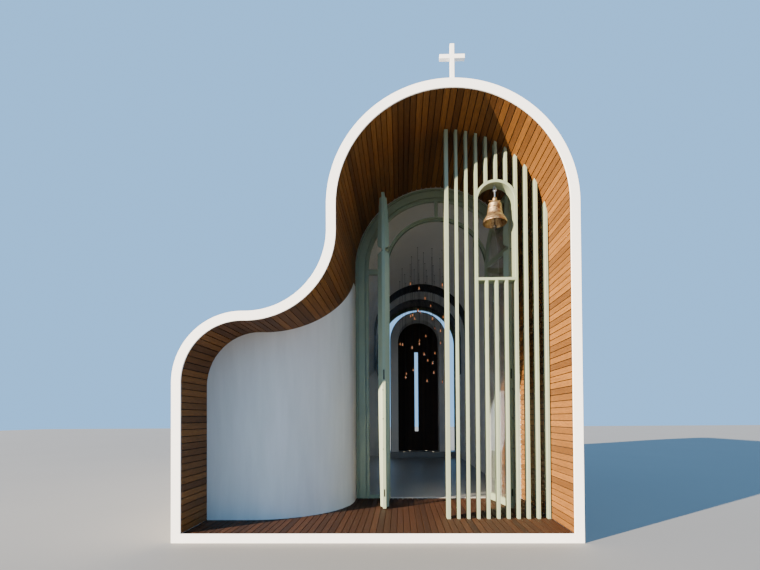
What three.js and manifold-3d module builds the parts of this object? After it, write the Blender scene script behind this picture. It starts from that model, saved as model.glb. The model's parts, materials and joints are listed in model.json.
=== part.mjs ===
// Small modern chapel with an S-shaped shell: a tall stilted arch over the nave on the right
// and a low rounded shoulder over the side aisle on the left.
// Millimetres, +Z up, +X to the right seen from the front, +Y into the building.
// The origin lies on the ground under the middle of the building.
// Inside the building group, Y is the depth behind the front face.
import * as THREE from 'three'
import { mergeVertices } from 'three/addons/utils/BufferGeometryUtils.js'
import Module from 'manifold-3d'

const wasm = await Module()
wasm.setup()

// Driving sizes of the S-shaped outline
const HALF_WIDTH = 2640
const LENGTH = 11400
const ARCH_X = 1010
const ARCH_RADIUS = HALF_WIDTH - ARCH_X
const SPRING = 4350
const CROWN = SPRING + ARCH_RADIUS
const HOLLOW_RADIUS = 1055
const SHOULDER_RADIUS = 922
const SHOULDER_Z = 2070
const ARCH_STEPS = 24
const QUARTER_STEPS = 12

// Gap between touching pieces, and how far joined pieces reach into each other
const JOINT = 0.3
const OVERLAP = 1
const WELD = 1e-4

// Build-up of the shell and the floors
const SHELL = 100
const LINING = 25
const RIM = SHELL + LINING
const FASCIA = 15
const FASCIA_BAR = 120
const SLAB = 90
const DECK_TOP = 117
const FLOOR_TOP = 120

// Depths behind the front face
const WALL_DEPTH = 750
const SCREEN_DEPTH = 2400
const SCREEN_THICKNESS = 80
const STEP_DEPTH = 10200
const APSE_DEPTH = 10300
const REAR_DEPTH = 10900
const SCREEN_BACK = SCREEN_DEPTH + SCREEN_THICKNESS

// Curved front wall of the aisle
const WALL_RADIUS = 1385
const WALL_THICKNESS = 100

// Glazed screen and door leaves
const SCREEN_RADIUS = ARCH_RADIUS - RIM - JOINT
const SCREEN_FACE = 245
const RING_INNER = 940
const RING_OUTER = 960
const STOP_INNER = 900
const MULLION = 62
const MULLION_ROOT = 10
const TRANSOM = 90
const RAIL_TOP = 180
const THRESHOLD_TOP = 125
const GLASS = 12
const LEAF_GAP = 5
const LEAF_RADIUS = RING_INNER - LEAF_GAP
const LEAF_BOTTOM = THRESHOLD_TOP + LEAF_GAP
const LEAF_THICKNESS = 53
const STILE = 70
const KICK_RAIL = 110
const MEETING_GAP = 8
const GRIP_WIDTH = 45
const GRIP_OUTSIDE = 70
const GRIP_INSIDE = 70
const GRIP_EDGE = 8
const GRIP_BEVEL = 70
const GRIP_MARGIN = 20
const HINGE_RADIUS = 10
const HINGE_INSET = 2.5
const KNUCKLE = 60
const LEAF_FLAP = 50
const RING_FLAP = 20
const FLAP_THICKNESS = 6
const HINGE_HEIGHTS = [400, 2200, 4100]
const LEFT_OPEN_DEG = 93
const RIGHT_OPEN_DEG = 103

// Row of upright fins and the bell niche in it
const FIN_COUNT = 11
const FIRST_FIN_X = 1024
const FIN_PITCH = 145.5
const FIN_WIDTH = 42
const FIRST_FIN_WIDTH = 56
const FIN_FRONT = 800
const FIN_DEPTH = 140
const NICHE_FIRST = 3
const NICHE_MIDDLE = 5
const NICHE_LAST = 7
const NICHE_X = FIRST_FIN_X + NICHE_MIDDLE * FIN_PITCH
const NICHE_HALF = (NICHE_LAST - NICHE_MIDDLE) * FIN_PITCH + FIN_WIDTH / 2
const NICHE_SILL = 3606
const NICHE_SPRING = 4785
const NICHE_DEPTH = 190

// Bell with its eye block, crossbar and fork; heights of profile points are above the mouth
const BELL_Y = FIN_FRONT + NICHE_DEPTH / 2
const BELL_MOUTH = 4485
const BELL_PIN = 4975
const BELL_OUTSIDE = [
  [0, 380], [34, 378], [42, 316], [77, 306], [97, 288], [102, 239],
  [110, 177], [118, 128], [141, 90], [165, 53], [180, 24], [180, 0],
]
const BELL_INSIDE = [
  [166, 0], [152, 50], [130, 88], [107, 128], [99, 177], [92, 239], [87, 280], [60, 292], [0, 294],
]
const BELL_SIDES = 24
const EYE_FOOT = 370
const EYE_HALF_WIDTH = 10
const EYE_HALF_DEPTH = 18
const EYE_RADIUS = 9
const CROSSBAR_LOW = 330
const CROSSBAR_HIGH = 348
const CROSSBAR_HALF = 89
const CROSSBAR_HALF_DEPTH = 10
const PIN_RADIUS = 8
const PIN_PROUD = 5
const PIN_SIDES = 16
const FORK_HALF = 23
const FORK_HALF_DEPTH = 15
const FORK_CHEEK = 8
const FORK_BRIDGE = 5009
const FORK_BRIDGE_HEIGHT = 14
const FORK_STEM = 12

// Clapper on its own pin across the inside of the bell; heights are above its lower end
const CLAPPER_PIN = 4755
const CLAPPER_PIN_RADIUS = 5
const CLAPPER_PIN_HALF = 96
const CLAPPER_PROFILE = [[0, 0], [7, 0], [9, 24], [20, 32], [25, 50], [20, 68], [7, 80], [6, 370], [0, 370]]
const CLAPPER_SIDES = 12
const CLAPPER_DROP = 372
const CLAPPER_EYE_HALF_WIDTH = 7
const CLAPPER_EYE_HALF = 13
const CLAPPER_PLAY = 0.8

// Apse and rear screen
const APSE_INNER = 760
const APSE_OUTER = 1030
const APSE_SPRING = 4465
const STEP_TOP = 330
const REAR_WALL = 100
const SLIT_X = 945
const SLIT_WIDTH = 135
const SLIT_BOTTOM = 1065
const SLIT_TOP = 4110
const REAR_RING = 120

// Hanging lamps
const LAMP_COUNT = 32
const LAMP_SPREAD_X = 720
const LAMP_SPREAD_Y = 1900
const LAMP_MIDDLE = 6800
const LAMP_LOWEST = 2600
const LAMP_RANGE = 2700
const LAMP_LEAD = 6
const LAMP_SIDES = 8
const BULB_HEIGHT = 120
const BULB_PROFILE = [[0, 0], [22, 8], [34, 32], [28, 62], [14, 84], [12, BULB_HEIGHT], [0, BULB_HEIGHT]]
const LEAD_ROOT = 5
const CEILING_PLATE = 12
const PLATE_MARGIN = 100

// Roof cross
const CROSS_X = ARCH_X + 20
const CROSS_HEIGHT = 500
const CROSS_SPAN = 330
const CROSS_BAR = 56
const CROSS_DEPTH = 60
const CROSS_ARM_DROP = 140

// Corners of the outline that follow from the driving sizes
const NECK_X = ARCH_X - ARCH_RADIUS
const HOLLOW_X = NECK_X - HOLLOW_RADIUS
const SHOULDER_X = SHOULDER_RADIUS - HALF_WIDTH
const RADII = HOLLOW_RADIUS + SHOULDER_RADIUS
const HOLLOW_Z = SHOULDER_Z + Math.sqrt(RADII ** 2 - (HOLLOW_X - SHOULDER_X) ** 2)
const TURN = Math.atan2(HOLLOW_Z - SHOULDER_Z, HOLLOW_X - SHOULDER_X)

const finish = (color, roughness, metalness = 0) =>
  new THREE.MeshStandardMaterial({ color, roughness, metalness })
const WHITE_RENDER = finish(0xf2f1ee, 0.85)
const WHITE_ENAMEL = finish(0xf6f6f4, 0.45)
const PLASTER = finish(0xc9c8c3, 0.8)
const TIMBER = finish(0x8f5232, 0.6)
const DARK_TIMBER = finish(0x4a392f, 0.6)
const CONCRETE = finish(0x9b9a96, 0.7)
const SAGE = finish(0xa9b398, 0.45, 0.3)
const ALUMINIUM = finish(0xc9cac6, 0.4, 0.9)
const CLEAR_GLASS = new THREE.MeshStandardMaterial({
  color: 0xbfd0cf, roughness: 0.05, transparent: true, opacity: 0.35,
})
const BRONZE = finish(0xa8744a, 0.4, 0.9)
const LAMP_GLASS = finish(0xffd9a0, 0.3)

// Points in the plane of the front, x to the right and y up
const point = (x, y) => new THREE.Vector2(x, y)

const arc = (x, y, radius, from, to, steps) => {
  const points = []
  for (let i = 0; i <= steps; i++) {
    const angle = from + (to - from) * i / steps
    points.push(point(x + radius * Math.cos(angle), y + radius * Math.sin(angle)))
  }
  return points
}

// The six stretches of the outline, each moved inwards by inset and kept short of its neighbour by gap
const leftLine = (inset, floor, gap = 0) => [
  point(-HALF_WIDTH + inset, floor), point(-HALF_WIDTH + inset, SHOULDER_Z - gap),
]
const shoulderArc = (inset, gap = 0) => arc(
  SHOULDER_X, SHOULDER_Z, SHOULDER_RADIUS - inset,
  Math.PI, TURN + gap / SHOULDER_RADIUS, QUARTER_STEPS,
)
const hollowArc = (inset) => arc(
  HOLLOW_X, HOLLOW_Z, HOLLOW_RADIUS + inset, TURN - Math.PI, 0, QUARTER_STEPS,
)
const neckLine = (inset, gap = 0) => [
  point(NECK_X + inset, HOLLOW_Z + gap), point(NECK_X + inset, SPRING - gap),
]
const mainArc = (inset) => arc(ARCH_X, SPRING, ARCH_RADIUS - inset, Math.PI, 0, ARCH_STEPS)
const rightLine = (inset, floor, gap = 0) => [
  point(HALF_WIDTH - inset, SPRING - gap), point(HALF_WIDTH - inset, floor),
]

const outline = (inset, floor) => [
  ...leftLine(inset, floor),
  ...shoulderArc(inset).slice(1),
  ...hollowArc(inset).slice(1),
  ...mainArc(inset),
  ...rightLine(inset, floor).slice(1),
]

// Where a line of points crosses a given x or y
const crossing = (points, known, wanted, value) => {
  for (let i = 1; i < points.length; i++) {
    const a = points[i - 1]
    const b = points[i]
    if (a[known] === b[known] || (a[known] - value) * (b[known] - value) > 0) continue
    return a[wanted] + (b[wanted] - a[wanted]) * (value - a[known]) / (b[known] - a[known])
  }
  throw new Error(`nothing crosses ${known} = ${value}`)
}
const heightAt = (points, x) => crossing(points, 'x', 'y', x)
const placeAt = (points, y) => crossing(points, 'y', 'x', y)

// Height of the soffit above a place under the main arch
const soffit = (x) => heightAt(mainArc(RIM + JOINT), x)

// Closed polygons carried along one axis
const ALONG_Y = new THREE.Matrix4().makeBasis(
  new THREE.Vector3(1, 0, 0), new THREE.Vector3(0, 0, 1), new THREE.Vector3(0, -1, 0),
)
const ALONG_X = new THREE.Matrix4().makeBasis(
  new THREE.Vector3(0, 1, 0), new THREE.Vector3(0, 0, 1), new THREE.Vector3(1, 0, 0),
)

// An anticlockwise outline lets ExtrudeGeometry turn the holes the right way round
const prism = (points, depth, holes = []) => {
  const clockwise = THREE.ShapeUtils.isClockWise(points)
  const shape = new THREE.Shape(clockwise ? [...points].reverse() : points)
  for (const hole of holes) shape.holes.push(new THREE.Path(hole))
  return new THREE.ExtrudeGeometry(shape, { depth, bevelEnabled: false })
}
const alongY = (points, from, to, holes) =>
  prism(points, to - from, holes).applyMatrix4(ALONG_Y).translate(0, to, 0)
const alongX = (points, from, to) =>
  prism(points, to - from).applyMatrix4(ALONG_X).translate(from, 0, 0)
const upwards = (points, from, to) => prism(points, to - from).translate(0, 0, from)

// A block between two places on each axis, given in either order across the building
const block = (x0, x1, y0, y1, z0, z1) =>
  new THREE.BoxGeometry(Math.abs(x1 - x0), y1 - y0, z1 - z0)
    .translate((x0 + x1) / 2, (y0 + y1) / 2, (z0 + z1) / 2)

const strip = (outer, inner) => [...outer, ...[...inner].reverse()]

// Booleans on closed meshes
const solid = (geometry) => {
  const bare = geometry.clone()
  bare.deleteAttribute('normal')
  bare.deleteAttribute('uv')
  const merged = mergeVertices(bare, WELD)
  return new wasm.Manifold(new wasm.Mesh({
    numProp: 3,
    vertProperties: new Float32Array(merged.attributes.position.array),
    triVerts: new Uint32Array(merged.index.array),
  }))
}
const surface = (body) => {
  const mesh = body.getMesh()
  const geometry = new THREE.BufferGeometry()
  geometry.setAttribute('position', new THREE.BufferAttribute(mesh.vertProperties, 3))
  geometry.setIndex(new THREE.BufferAttribute(mesh.triVerts, 1))
  geometry.computeVertexNormals()
  return geometry
}
const joined = (...geometries) => surface(
  geometries.map(solid).reduce((whole, piece) => whole.add(piece)),
)
const common = (first, second) => surface(solid(first).intersect(solid(second)))
const without = (first, second) => surface(solid(first).subtract(solid(second)))

const building = new THREE.Group()
building.position.y = -LENGTH / 2

const add = (name, geometry, material, parent = building) => {
  const mesh = new THREE.Mesh(geometry, material)
  mesh.name = name
  parent.add(mesh)
  return mesh
}

// Ground slab, floors and decks
const INSIDE_X = HALF_WIDTH - RIM - JOINT
const SHELL_FRONT = FASCIA + JOINT
const SHELL_REAR = LENGTH - FASCIA - JOINT
const ON_SLAB = SLAB + JOINT
const WALL_CENTRE_X = NECK_X + RIM - JOINT - WALL_RADIUS
const WALL_CENTRE_Y = WALL_DEPTH + WALL_RADIUS

const wallFace = (radius) => [
  point(-INSIDE_X, WALL_CENTRE_Y - radius),
  ...arc(WALL_CENTRE_X, WALL_CENTRE_Y, radius, -Math.PI / 2, 0, QUARTER_STEPS),
]
const slabX = HALF_WIDTH - SHELL - JOINT
add('ground_slab', block(-slabX, slabX, SHELL_FRONT, SHELL_REAR, 0, SLAB), CONCRETE)

const deckPlan = [
  ...wallFace(WALL_RADIUS + JOINT),
  point(WALL_CENTRE_X + WALL_RADIUS + JOINT, SCREEN_DEPTH - JOINT),
  point(INSIDE_X, SCREEN_DEPTH - JOINT),
  point(INSIDE_X, SHELL_FRONT),
  point(-INSIDE_X, SHELL_FRONT),
]
add('porch_deck', upwards(deckPlan, ON_SLAB, DECK_TOP), TIMBER)

const innerRadius = WALL_RADIUS - WALL_THICKNESS - JOINT
const floorPlan = [
  ...wallFace(innerRadius),
  point(WALL_CENTRE_X + innerRadius, SCREEN_BACK + JOINT),
  point(INSIDE_X, SCREEN_BACK + JOINT),
  point(INSIDE_X, REAR_DEPTH - JOINT),
  point(-INSIDE_X, REAR_DEPTH - JOINT),
]
add('nave_floor', upwards(floorPlan, ON_SLAB, FLOOR_TOP), CONCRETE)
const rearDeckFront = REAR_DEPTH + REAR_WALL + JOINT
add('rear_deck', block(-INSIDE_X, INSIDE_X, rearDeckFront, SHELL_REAR, ON_SLAB, DECK_TOP), TIMBER)

// Structural shell, split where its curvature changes
const shellPiece = (name, outer, inner) =>
  add(name, alongY(strip(outer, inner), SHELL_FRONT, SHELL_REAR), WHITE_RENDER)
shellPiece('left_wall', leftLine(0, 0, JOINT), leftLine(SHELL, 0, JOINT))
shellPiece('shoulder_roof', shoulderArc(0, JOINT), shoulderArc(SHELL, JOINT))
shellPiece('hollow_roof', hollowArc(0), hollowArc(SHELL))
shellPiece('neck_wall', neckLine(0, JOINT), neckLine(SHELL, JOINT))
shellPiece('main_vault', mainArc(0), mainArc(SHELL))
shellPiece('right_wall', rightLine(0, 0, JOINT), rightLine(SHELL, 0, JOINT))

// White rims on both ends of the shell
const rimPlate = (name, from) => add(
  name, alongY(outline(0, 0), from, from + FASCIA, [outline(RIM, FASCIA_BAR)]), WHITE_ENAMEL,
)
rimPlate('front_fascia', 0)
rimPlate('rear_fascia', LENGTH - FASCIA)

// Linings inside the shell
const lining = (name, from, to, material) => add(
  name, alongY(strip(outline(SHELL + JOINT, ON_SLAB), outline(RIM, ON_SLAB)), from, to), material,
)
lining('porch_lining', SHELL_FRONT, SCREEN_DEPTH, TIMBER)
lining('nave_lining', SCREEN_DEPTH + JOINT, REAR_DEPTH - JOINT, PLASTER)
lining('rear_lining', REAR_DEPTH, SHELL_REAR, TIMBER)

// Aisle walls, cut by the underside of the linings
const insideOutline = alongY(outline(RIM + JOINT, ON_SLAB), 0, LENGTH)
const wallPlan = [
  ...wallFace(WALL_RADIUS),
  point(WALL_CENTRE_X + WALL_RADIUS, SCREEN_BACK),
  point(WALL_CENTRE_X + WALL_RADIUS - WALL_THICKNESS, SCREEN_BACK),
  ...wallFace(WALL_RADIUS - WALL_THICKNESS).reverse(),
]
add('curved_front_wall', common(upwards(wallPlan, 0, SPRING), insideOutline), WHITE_RENDER)
const aisleEnd = block(
  -HALF_WIDTH, NECK_X + RIM - JOINT, REAR_DEPTH, REAR_DEPTH + REAR_WALL, 0, SPRING,
)
add('rear_aisle_wall', common(aisleEnd, insideOutline), WHITE_RENDER)

// Stilted arches about the nave's middle line
const stilted = (radius, floor, spring = SPRING) => [
  point(ARCH_X - radius, floor),
  ...arc(ARCH_X, spring, radius, Math.PI, 0, ARCH_STEPS),
  point(ARCH_X + radius, floor),
]
const archBand = (outer, inner, floor, from, to, spring = SPRING) =>
  alongY(strip(stilted(outer, floor, spring), stilted(inner, floor, spring)), from, to)

// Glazed screen: outer frame, door ring with its bars, sill and fixed panes
const SCREEN_INNER = SCREEN_RADIUS - SCREEN_FACE
add('screen_frame', archBand(SCREEN_RADIUS, SCREEN_INNER, ON_SLAB, SCREEN_DEPTH, SCREEN_BACK), SAGE)

const HINGE_X = LEAF_RADIUS + HINGE_INSET
const HINGE_Y = SCREEN_DEPTH - HINGE_RADIUS
const knuckle = (z) => new THREE.CylinderGeometry(HINGE_RADIUS, HINGE_RADIUS, KNUCKLE, PIN_SIDES)
  .rotateX(Math.PI / 2).translate(0, 0, z + KNUCKLE / 2)
const ringHinge = (side, z) => {
  const axis = ARCH_X + side * HINGE_X
  const front = SCREEN_DEPTH - FLAP_THICKNESS
  return [
    knuckle(z).translate(axis, HINGE_Y, 0),
    block(axis, axis + side * RING_FLAP, front, SCREEN_DEPTH + OVERLAP, z, z + KNUCKLE),
  ]
}
const sideBars = (side) => {
  const near = ARCH_X + side * (RING_OUTER - OVERLAP)
  const far = ARCH_X + side * SCREEN_RADIUS
  return [
    block(near, far, SCREEN_DEPTH, SCREEN_BACK, SPRING - TRANSOM, SPRING),
    block(near, far, SCREEN_DEPTH, SCREEN_BACK, ON_SLAB, RAIL_TOP),
  ]
}
const crownBar = block(
  ARCH_X - MULLION / 2, ARCH_X + MULLION / 2, SCREEN_DEPTH, SCREEN_BACK,
  SPRING + RING_OUTER - MULLION_ROOT, SPRING + SCREEN_RADIUS,
)
const hinges = HINGE_HEIGHTS.flatMap((z) => [...ringHinge(-1, z), ...ringHinge(1, z)])
const doorFrame = joined(
  archBand(RING_OUTER, RING_INNER, ON_SLAB, SCREEN_DEPTH, SCREEN_BACK),
  crownBar, ...sideBars(-1), ...sideBars(1), ...hinges,
)
const insideScreen = alongY(stilted(SCREEN_INNER - JOINT, 0), FIN_FRONT, APSE_DEPTH)
add('door_frame', common(doorFrame, insideScreen), SAGE)
const insideRing = RING_INNER - JOINT
add('threshold', block(
  ARCH_X - insideRing, ARCH_X + insideRing, SCREEN_DEPTH, SCREEN_BACK, ON_SLAB, THRESHOLD_TOP,
), ALUMINIUM)
const stopFront = SCREEN_DEPTH + LEAF_THICKNESS + LEAF_GAP
add('door_stop', archBand(insideRing, STOP_INNER, THRESHOLD_TOP + JOINT, stopFront, SCREEN_BACK), SAGE)

const paneFront = SCREEN_DEPTH + (SCREEN_THICKNESS - GLASS) / 2
const pane = (points, from) => alongY(points, from, from + GLASS)
// The part of an arched band of glass on one side of the crown bar and between two levels
const glazing = (side, band, low, high) => {
  const near = ARCH_X + side * (MULLION / 2 + JOINT)
  const far = ARCH_X + side * HALF_WIDTH
  return common(pane(band, 0), block(near, far, -GLASS, 2 * GLASS, low + JOINT, high - JOINT))
}
const frontBand = strip(stilted(SCREEN_INNER - JOINT, 0), stilted(RING_OUTER + JOINT, 0))
const frontGlass = (side, low, high) => glazing(side, frontBand, low, high).translate(0, paneFront, 0)
const sidelight = (side) => frontGlass(side, RAIL_TOP, SPRING - TRANSOM)
const fan = (side) => frontGlass(side, SPRING, CROWN)
add('left_sidelight', sidelight(-1), CLEAR_GLASS)
add('right_sidelight', sidelight(1), CLEAR_GLASS)
add('left_fanlight', fan(-1), CLEAR_GLASS)
add('right_fanlight', fan(1), CLEAR_GLASS)

// Door leaves, each drawn shut with its hinge axis at the origin and then turned open
const leafX = (side, x) => -side * (x + HINGE_INSET)
const leafPoints = (side, points) => points.map((p) => point(leafX(side, p.x), p.y))
const leafQuarter = (radius) => arc(LEAF_RADIUS, SPRING, radius, Math.PI / 2, Math.PI, ARCH_STEPS / 2)
const MEETING_X = LEAF_RADIUS - MEETING_GAP / 2
const leafEdge = (side) => {
  const quarter = leafQuarter(LEAF_RADIUS)
  return leafPoints(side, [
    point(0, LEAF_BOTTOM), point(MEETING_X, LEAF_BOTTOM),
    point(MEETING_X, heightAt(quarter, MEETING_X)), ...quarter.slice(1),
  ])
}
const PANE_LEFT = STILE
const PANE_RIGHT = MEETING_X - STILE
const lowerPane = (side, gap) => {
  const x0 = leafX(side, PANE_LEFT + gap)
  const x1 = leafX(side, PANE_RIGHT - gap)
  const z0 = LEAF_BOTTOM + KICK_RAIL + gap
  const z1 = SPRING - TRANSOM / 2 - gap
  return [point(x0, z0), point(x1, z0), point(x1, z1), point(x0, z1)]
}
const upperPane = (side, gap) => {
  const quarter = leafQuarter(LEAF_RADIUS - STILE - gap)
  const level = SPRING + TRANSOM / 2 + gap
  const right = PANE_RIGHT - gap
  return leafPoints(side, [
    point(right, level), point(right, heightAt(quarter, right)),
    ...quarter.filter((p) => p.x < right && p.y > level), point(placeAt(quarter, level), level),
  ])
}
const grip = (side, bottom, top, base, reach) => {
  const outer = base + reach
  const inner = base - Math.sign(reach) * OVERLAP
  const profile = [
    point(inner, bottom), point(base, bottom), point(outer, bottom + GRIP_BEVEL),
    point(outer, top - GRIP_BEVEL), point(base, top), point(inner, top),
  ]
  const a = leafX(side, MEETING_X - GRIP_EDGE - GRIP_WIDTH)
  const b = leafX(side, MEETING_X - GRIP_EDGE)
  return alongX(profile, Math.min(a, b), Math.max(a, b))
}
const grips = (side) => {
  const crown = SPRING + LEAF_RADIUS - STILE
  const back = HINGE_RADIUS + LEAF_THICKNESS
  return [
    [LEAF_BOTTOM + GRIP_MARGIN, SPRING - GRIP_MARGIN],
    [SPRING + GRIP_MARGIN, crown],
  ].flatMap(([bottom, top]) => [
    grip(side, bottom, top, HINGE_RADIUS, -GRIP_OUTSIDE),
    grip(side, bottom, top, back, GRIP_INSIDE),
  ])
}
const leafHinge = (side, z) => {
  const low = z + KNUCKLE + JOINT
  const front = HINGE_RADIUS - FLAP_THICKNESS
  return [
    knuckle(low),
    block(0, leafX(side, LEAF_FLAP), front, HINGE_RADIUS + OVERLAP, low, low + KNUCKLE),
  ]
}
const leaf = (side, name, openDeg) => {
  const group = new THREE.Group()
  group.position.set(ARCH_X + side * HINGE_X, HINGE_Y, 0)
  group.rotation.z = side * THREE.MathUtils.degToRad(openDeg)
  building.add(group)
  const back = HINGE_RADIUS + LEAF_THICKNESS
  const plate = alongY(leafEdge(side), HINGE_RADIUS, back, [lowerPane(side, 0), upperPane(side, 0)])
  const knuckles = HINGE_HEIGHTS.flatMap((z) => leafHinge(side, z))
  add(`${name}_leaf`, joined(plate, ...grips(side), ...knuckles), SAGE, group)
  const seat = HINGE_RADIUS + (LEAF_THICKNESS - GLASS) / 2
  add(`${name}_lower_glass`, pane(lowerPane(side, JOINT), seat), CLEAR_GLASS, group)
  add(`${name}_upper_glass`, pane(upperPane(side, JOINT), seat), CLEAR_GLASS, group)
}
leaf(-1, 'left_door', LEFT_OPEN_DEG)
leaf(1, 'right_door', RIGHT_OPEN_DEG)

// Fins from the deck to the soffit, cut short below and above the niche
const ON_DECK = DECK_TOP + JOINT
const nicheArc = (half) => arc(NICHE_X, NICHE_SPRING, half, Math.PI, 0, QUARTER_STEPS)
const nicheArch = (half, sill) => [
  point(NICHE_X - half, sill),
  ...nicheArc(half),
  point(NICHE_X + half, sill),
]
const nicheBody = alongY(nicheArch(NICHE_HALF + JOINT, NICHE_SILL), 0, SCREEN_DEPTH)
const fin = (x, width, floor, ceiling) => {
  const x0 = x - width / 2
  const x1 = x + width / 2
  const points = [point(x0, floor), point(x1, floor), point(x1, ceiling(x1)), point(x0, ceiling(x0))]
  return alongY(points, FIN_FRONT, FIN_FRONT + FIN_DEPTH)
}
const underSill = () => NICHE_SILL - JOINT
for (let i = 0; i < FIN_COUNT; i++) {
  const x = FIRST_FIN_X + i * FIN_PITCH
  const number = String(i + 1).padStart(2, '0')
  if (i >= NICHE_FIRST && i <= NICHE_LAST) {
    add(`fin_${number}_lower`, fin(x, FIN_WIDTH, ON_DECK, underSill), SAGE)
    add(`fin_${number}_upper`, without(fin(x, FIN_WIDTH, NICHE_SPRING, soffit), nicheBody), SAGE)
  } else {
    add(`fin_${number}`, fin(x, i ? FIN_WIDTH : FIRST_FIN_WIDTH, ON_DECK, soffit), SAGE)
  }
}

// Arched niche frame in line with the fourth and the eighth fin, as wide as a fin
const NICHE_INSIDE = NICHE_HALF - FIN_WIDTH
add('bell_niche_frame', alongY(
  nicheArch(NICHE_HALF, NICHE_SILL), FIN_FRONT, FIN_FRONT + NICHE_DEPTH,
  [nicheArch(NICHE_INSIDE, NICHE_SILL + FIN_WIDTH)],
), SAGE)

// Fork in the crown of the niche with the pin that carries the bell
const rodAlongX = (radius, half, z) =>
  new THREE.CylinderGeometry(radius, radius, 2 * half, PIN_SIDES)
    .rotateZ(Math.PI / 2).translate(NICHE_X, BELL_Y, z)
const cheek = (side) => block(
  NICHE_X + side * FORK_HALF, NICHE_X + side * (FORK_HALF - FORK_CHEEK),
  BELL_Y - FORK_HALF_DEPTH, BELL_Y + FORK_HALF_DEPTH, BELL_PIN - FORK_HALF_DEPTH, FORK_BRIDGE + OVERLAP,
)
const bridge = block(
  NICHE_X - FORK_HALF, NICHE_X + FORK_HALF, BELL_Y - FORK_HALF_DEPTH, BELL_Y + FORK_HALF_DEPTH,
  FORK_BRIDGE, FORK_BRIDGE + FORK_BRIDGE_HEIGHT,
)
const stemTop = heightAt(nicheArc(NICHE_INSIDE), NICHE_X + FORK_STEM) - JOINT
const stem = block(
  NICHE_X - FORK_STEM, NICHE_X + FORK_STEM, BELL_Y - FORK_STEM, BELL_Y + FORK_STEM,
  FORK_BRIDGE + FORK_BRIDGE_HEIGHT - OVERLAP, stemTop,
)
const bellPin = rodAlongX(PIN_RADIUS, FORK_HALF + PIN_PROUD, BELL_PIN)
add('bell_fork', joined(cheek(-1), cheek(1), bellPin, bridge, stem), ALUMINIUM)

// Turned profile of radius and height, on the bell's middle line
const turned = (profile, sides, low) =>
  new THREE.LatheGeometry(profile.map(([r, z]) => point(r, z)), sides)
    .rotateX(Math.PI / 2).translate(NICHE_X, BELL_Y, low)

// Bell: bronze skirt, crown block with its eye, crossbar, and a pin across the inside for the clapper
const skirtProfile = [...BELL_OUTSIDE, ...BELL_INSIDE, BELL_OUTSIDE[0]].reverse()
const skirt = turned(skirtProfile, BELL_SIDES, BELL_MOUTH)
const eyeBlock = block(
  NICHE_X - EYE_HALF_WIDTH, NICHE_X + EYE_HALF_WIDTH, BELL_Y - EYE_HALF_DEPTH, BELL_Y + EYE_HALF_DEPTH,
  BELL_MOUTH + EYE_FOOT, BELL_PIN + EYE_HALF_DEPTH,
)
const crossbar = block(
  NICHE_X - CROSSBAR_HALF, NICHE_X + CROSSBAR_HALF,
  BELL_Y - CROSSBAR_HALF_DEPTH, BELL_Y + CROSSBAR_HALF_DEPTH,
  BELL_MOUTH + CROSSBAR_LOW, BELL_MOUTH + CROSSBAR_HIGH,
)
const clapperPin = rodAlongX(CLAPPER_PIN_RADIUS, CLAPPER_PIN_HALF, CLAPPER_PIN)
const bellBore = rodAlongX(EYE_RADIUS, FORK_HALF, BELL_PIN)
add('bell', without(joined(skirt, eyeBlock, crossbar, clapperPin), bellBore), BRONZE)

const clapperEye = block(
  NICHE_X - CLAPPER_EYE_HALF_WIDTH, NICHE_X + CLAPPER_EYE_HALF_WIDTH,
  BELL_Y - CLAPPER_EYE_HALF, BELL_Y + CLAPPER_EYE_HALF,
  CLAPPER_PIN - CLAPPER_EYE_HALF, CLAPPER_PIN + CLAPPER_EYE_HALF,
)
const clapperRod = turned(CLAPPER_PROFILE, CLAPPER_SIDES, CLAPPER_PIN - CLAPPER_DROP)
const clapperBore = rodAlongX(CLAPPER_PIN_RADIUS + CLAPPER_PLAY, 2 * CLAPPER_EYE_HALF, CLAPPER_PIN)
add('bell_clapper', without(joined(clapperRod, clapperEye), clapperBore), ALUMINIUM)

// Cross on the crown of the roof
const crossFoot = CROWN + JOINT
const armTop = crossFoot + CROSS_HEIGHT - CROSS_ARM_DROP
const halfBar = CROSS_BAR / 2
const halfSpan = CROSS_SPAN / 2
const rightOfCross = [
  point(halfBar, crossFoot), point(halfBar, armTop - CROSS_BAR), point(halfSpan, armTop - CROSS_BAR),
  point(halfSpan, armTop), point(halfBar, armTop), point(halfBar, crossFoot + CROSS_HEIGHT),
]
const crossPoints = [
  ...rightOfCross.map((p) => point(CROSS_X + p.x, p.y)),
  ...[...rightOfCross].reverse().map((p) => point(CROSS_X - p.x, p.y)),
]
add('roof_cross', alongY(crossPoints, CROSS_DEPTH, CROSS_DEPTH + CROSS_BAR), WHITE_ENAMEL)

// Raised step, apse and glazed rear screen
const onFloor = FLOOR_TOP + JOINT
add('sanctuary_step', block(
  NECK_X + RIM, INSIDE_X, STEP_DEPTH, REAR_DEPTH - JOINT, onFloor, STEP_TOP,
), CONCRETE)
add('apse_shell', archBand(
  APSE_OUTER, APSE_INNER, STEP_TOP + JOINT, APSE_DEPTH, REAR_DEPTH - JOINT, APSE_SPRING,
), PLASTER)
const slit = (gap) => {
  const left = SLIT_X - SLIT_WIDTH / 2 + gap
  const right = SLIT_X + SLIT_WIDTH / 2 - gap
  const low = SLIT_BOTTOM + gap
  const high = SLIT_TOP - gap
  return [point(left, low), point(right, low), point(right, high), point(left, high)]
}
add('apse_rear_wall', alongY(
  stilted(APSE_OUTER, ON_SLAB, APSE_SPRING), REAR_DEPTH, REAR_DEPTH + REAR_WALL, [slit(0)],
), DARK_TIMBER)
const rearPane = REAR_DEPTH + (SCREEN_THICKNESS - GLASS) / 2
add('slit_glass', pane(slit(JOINT), rearPane), CLEAR_GLASS)

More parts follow.
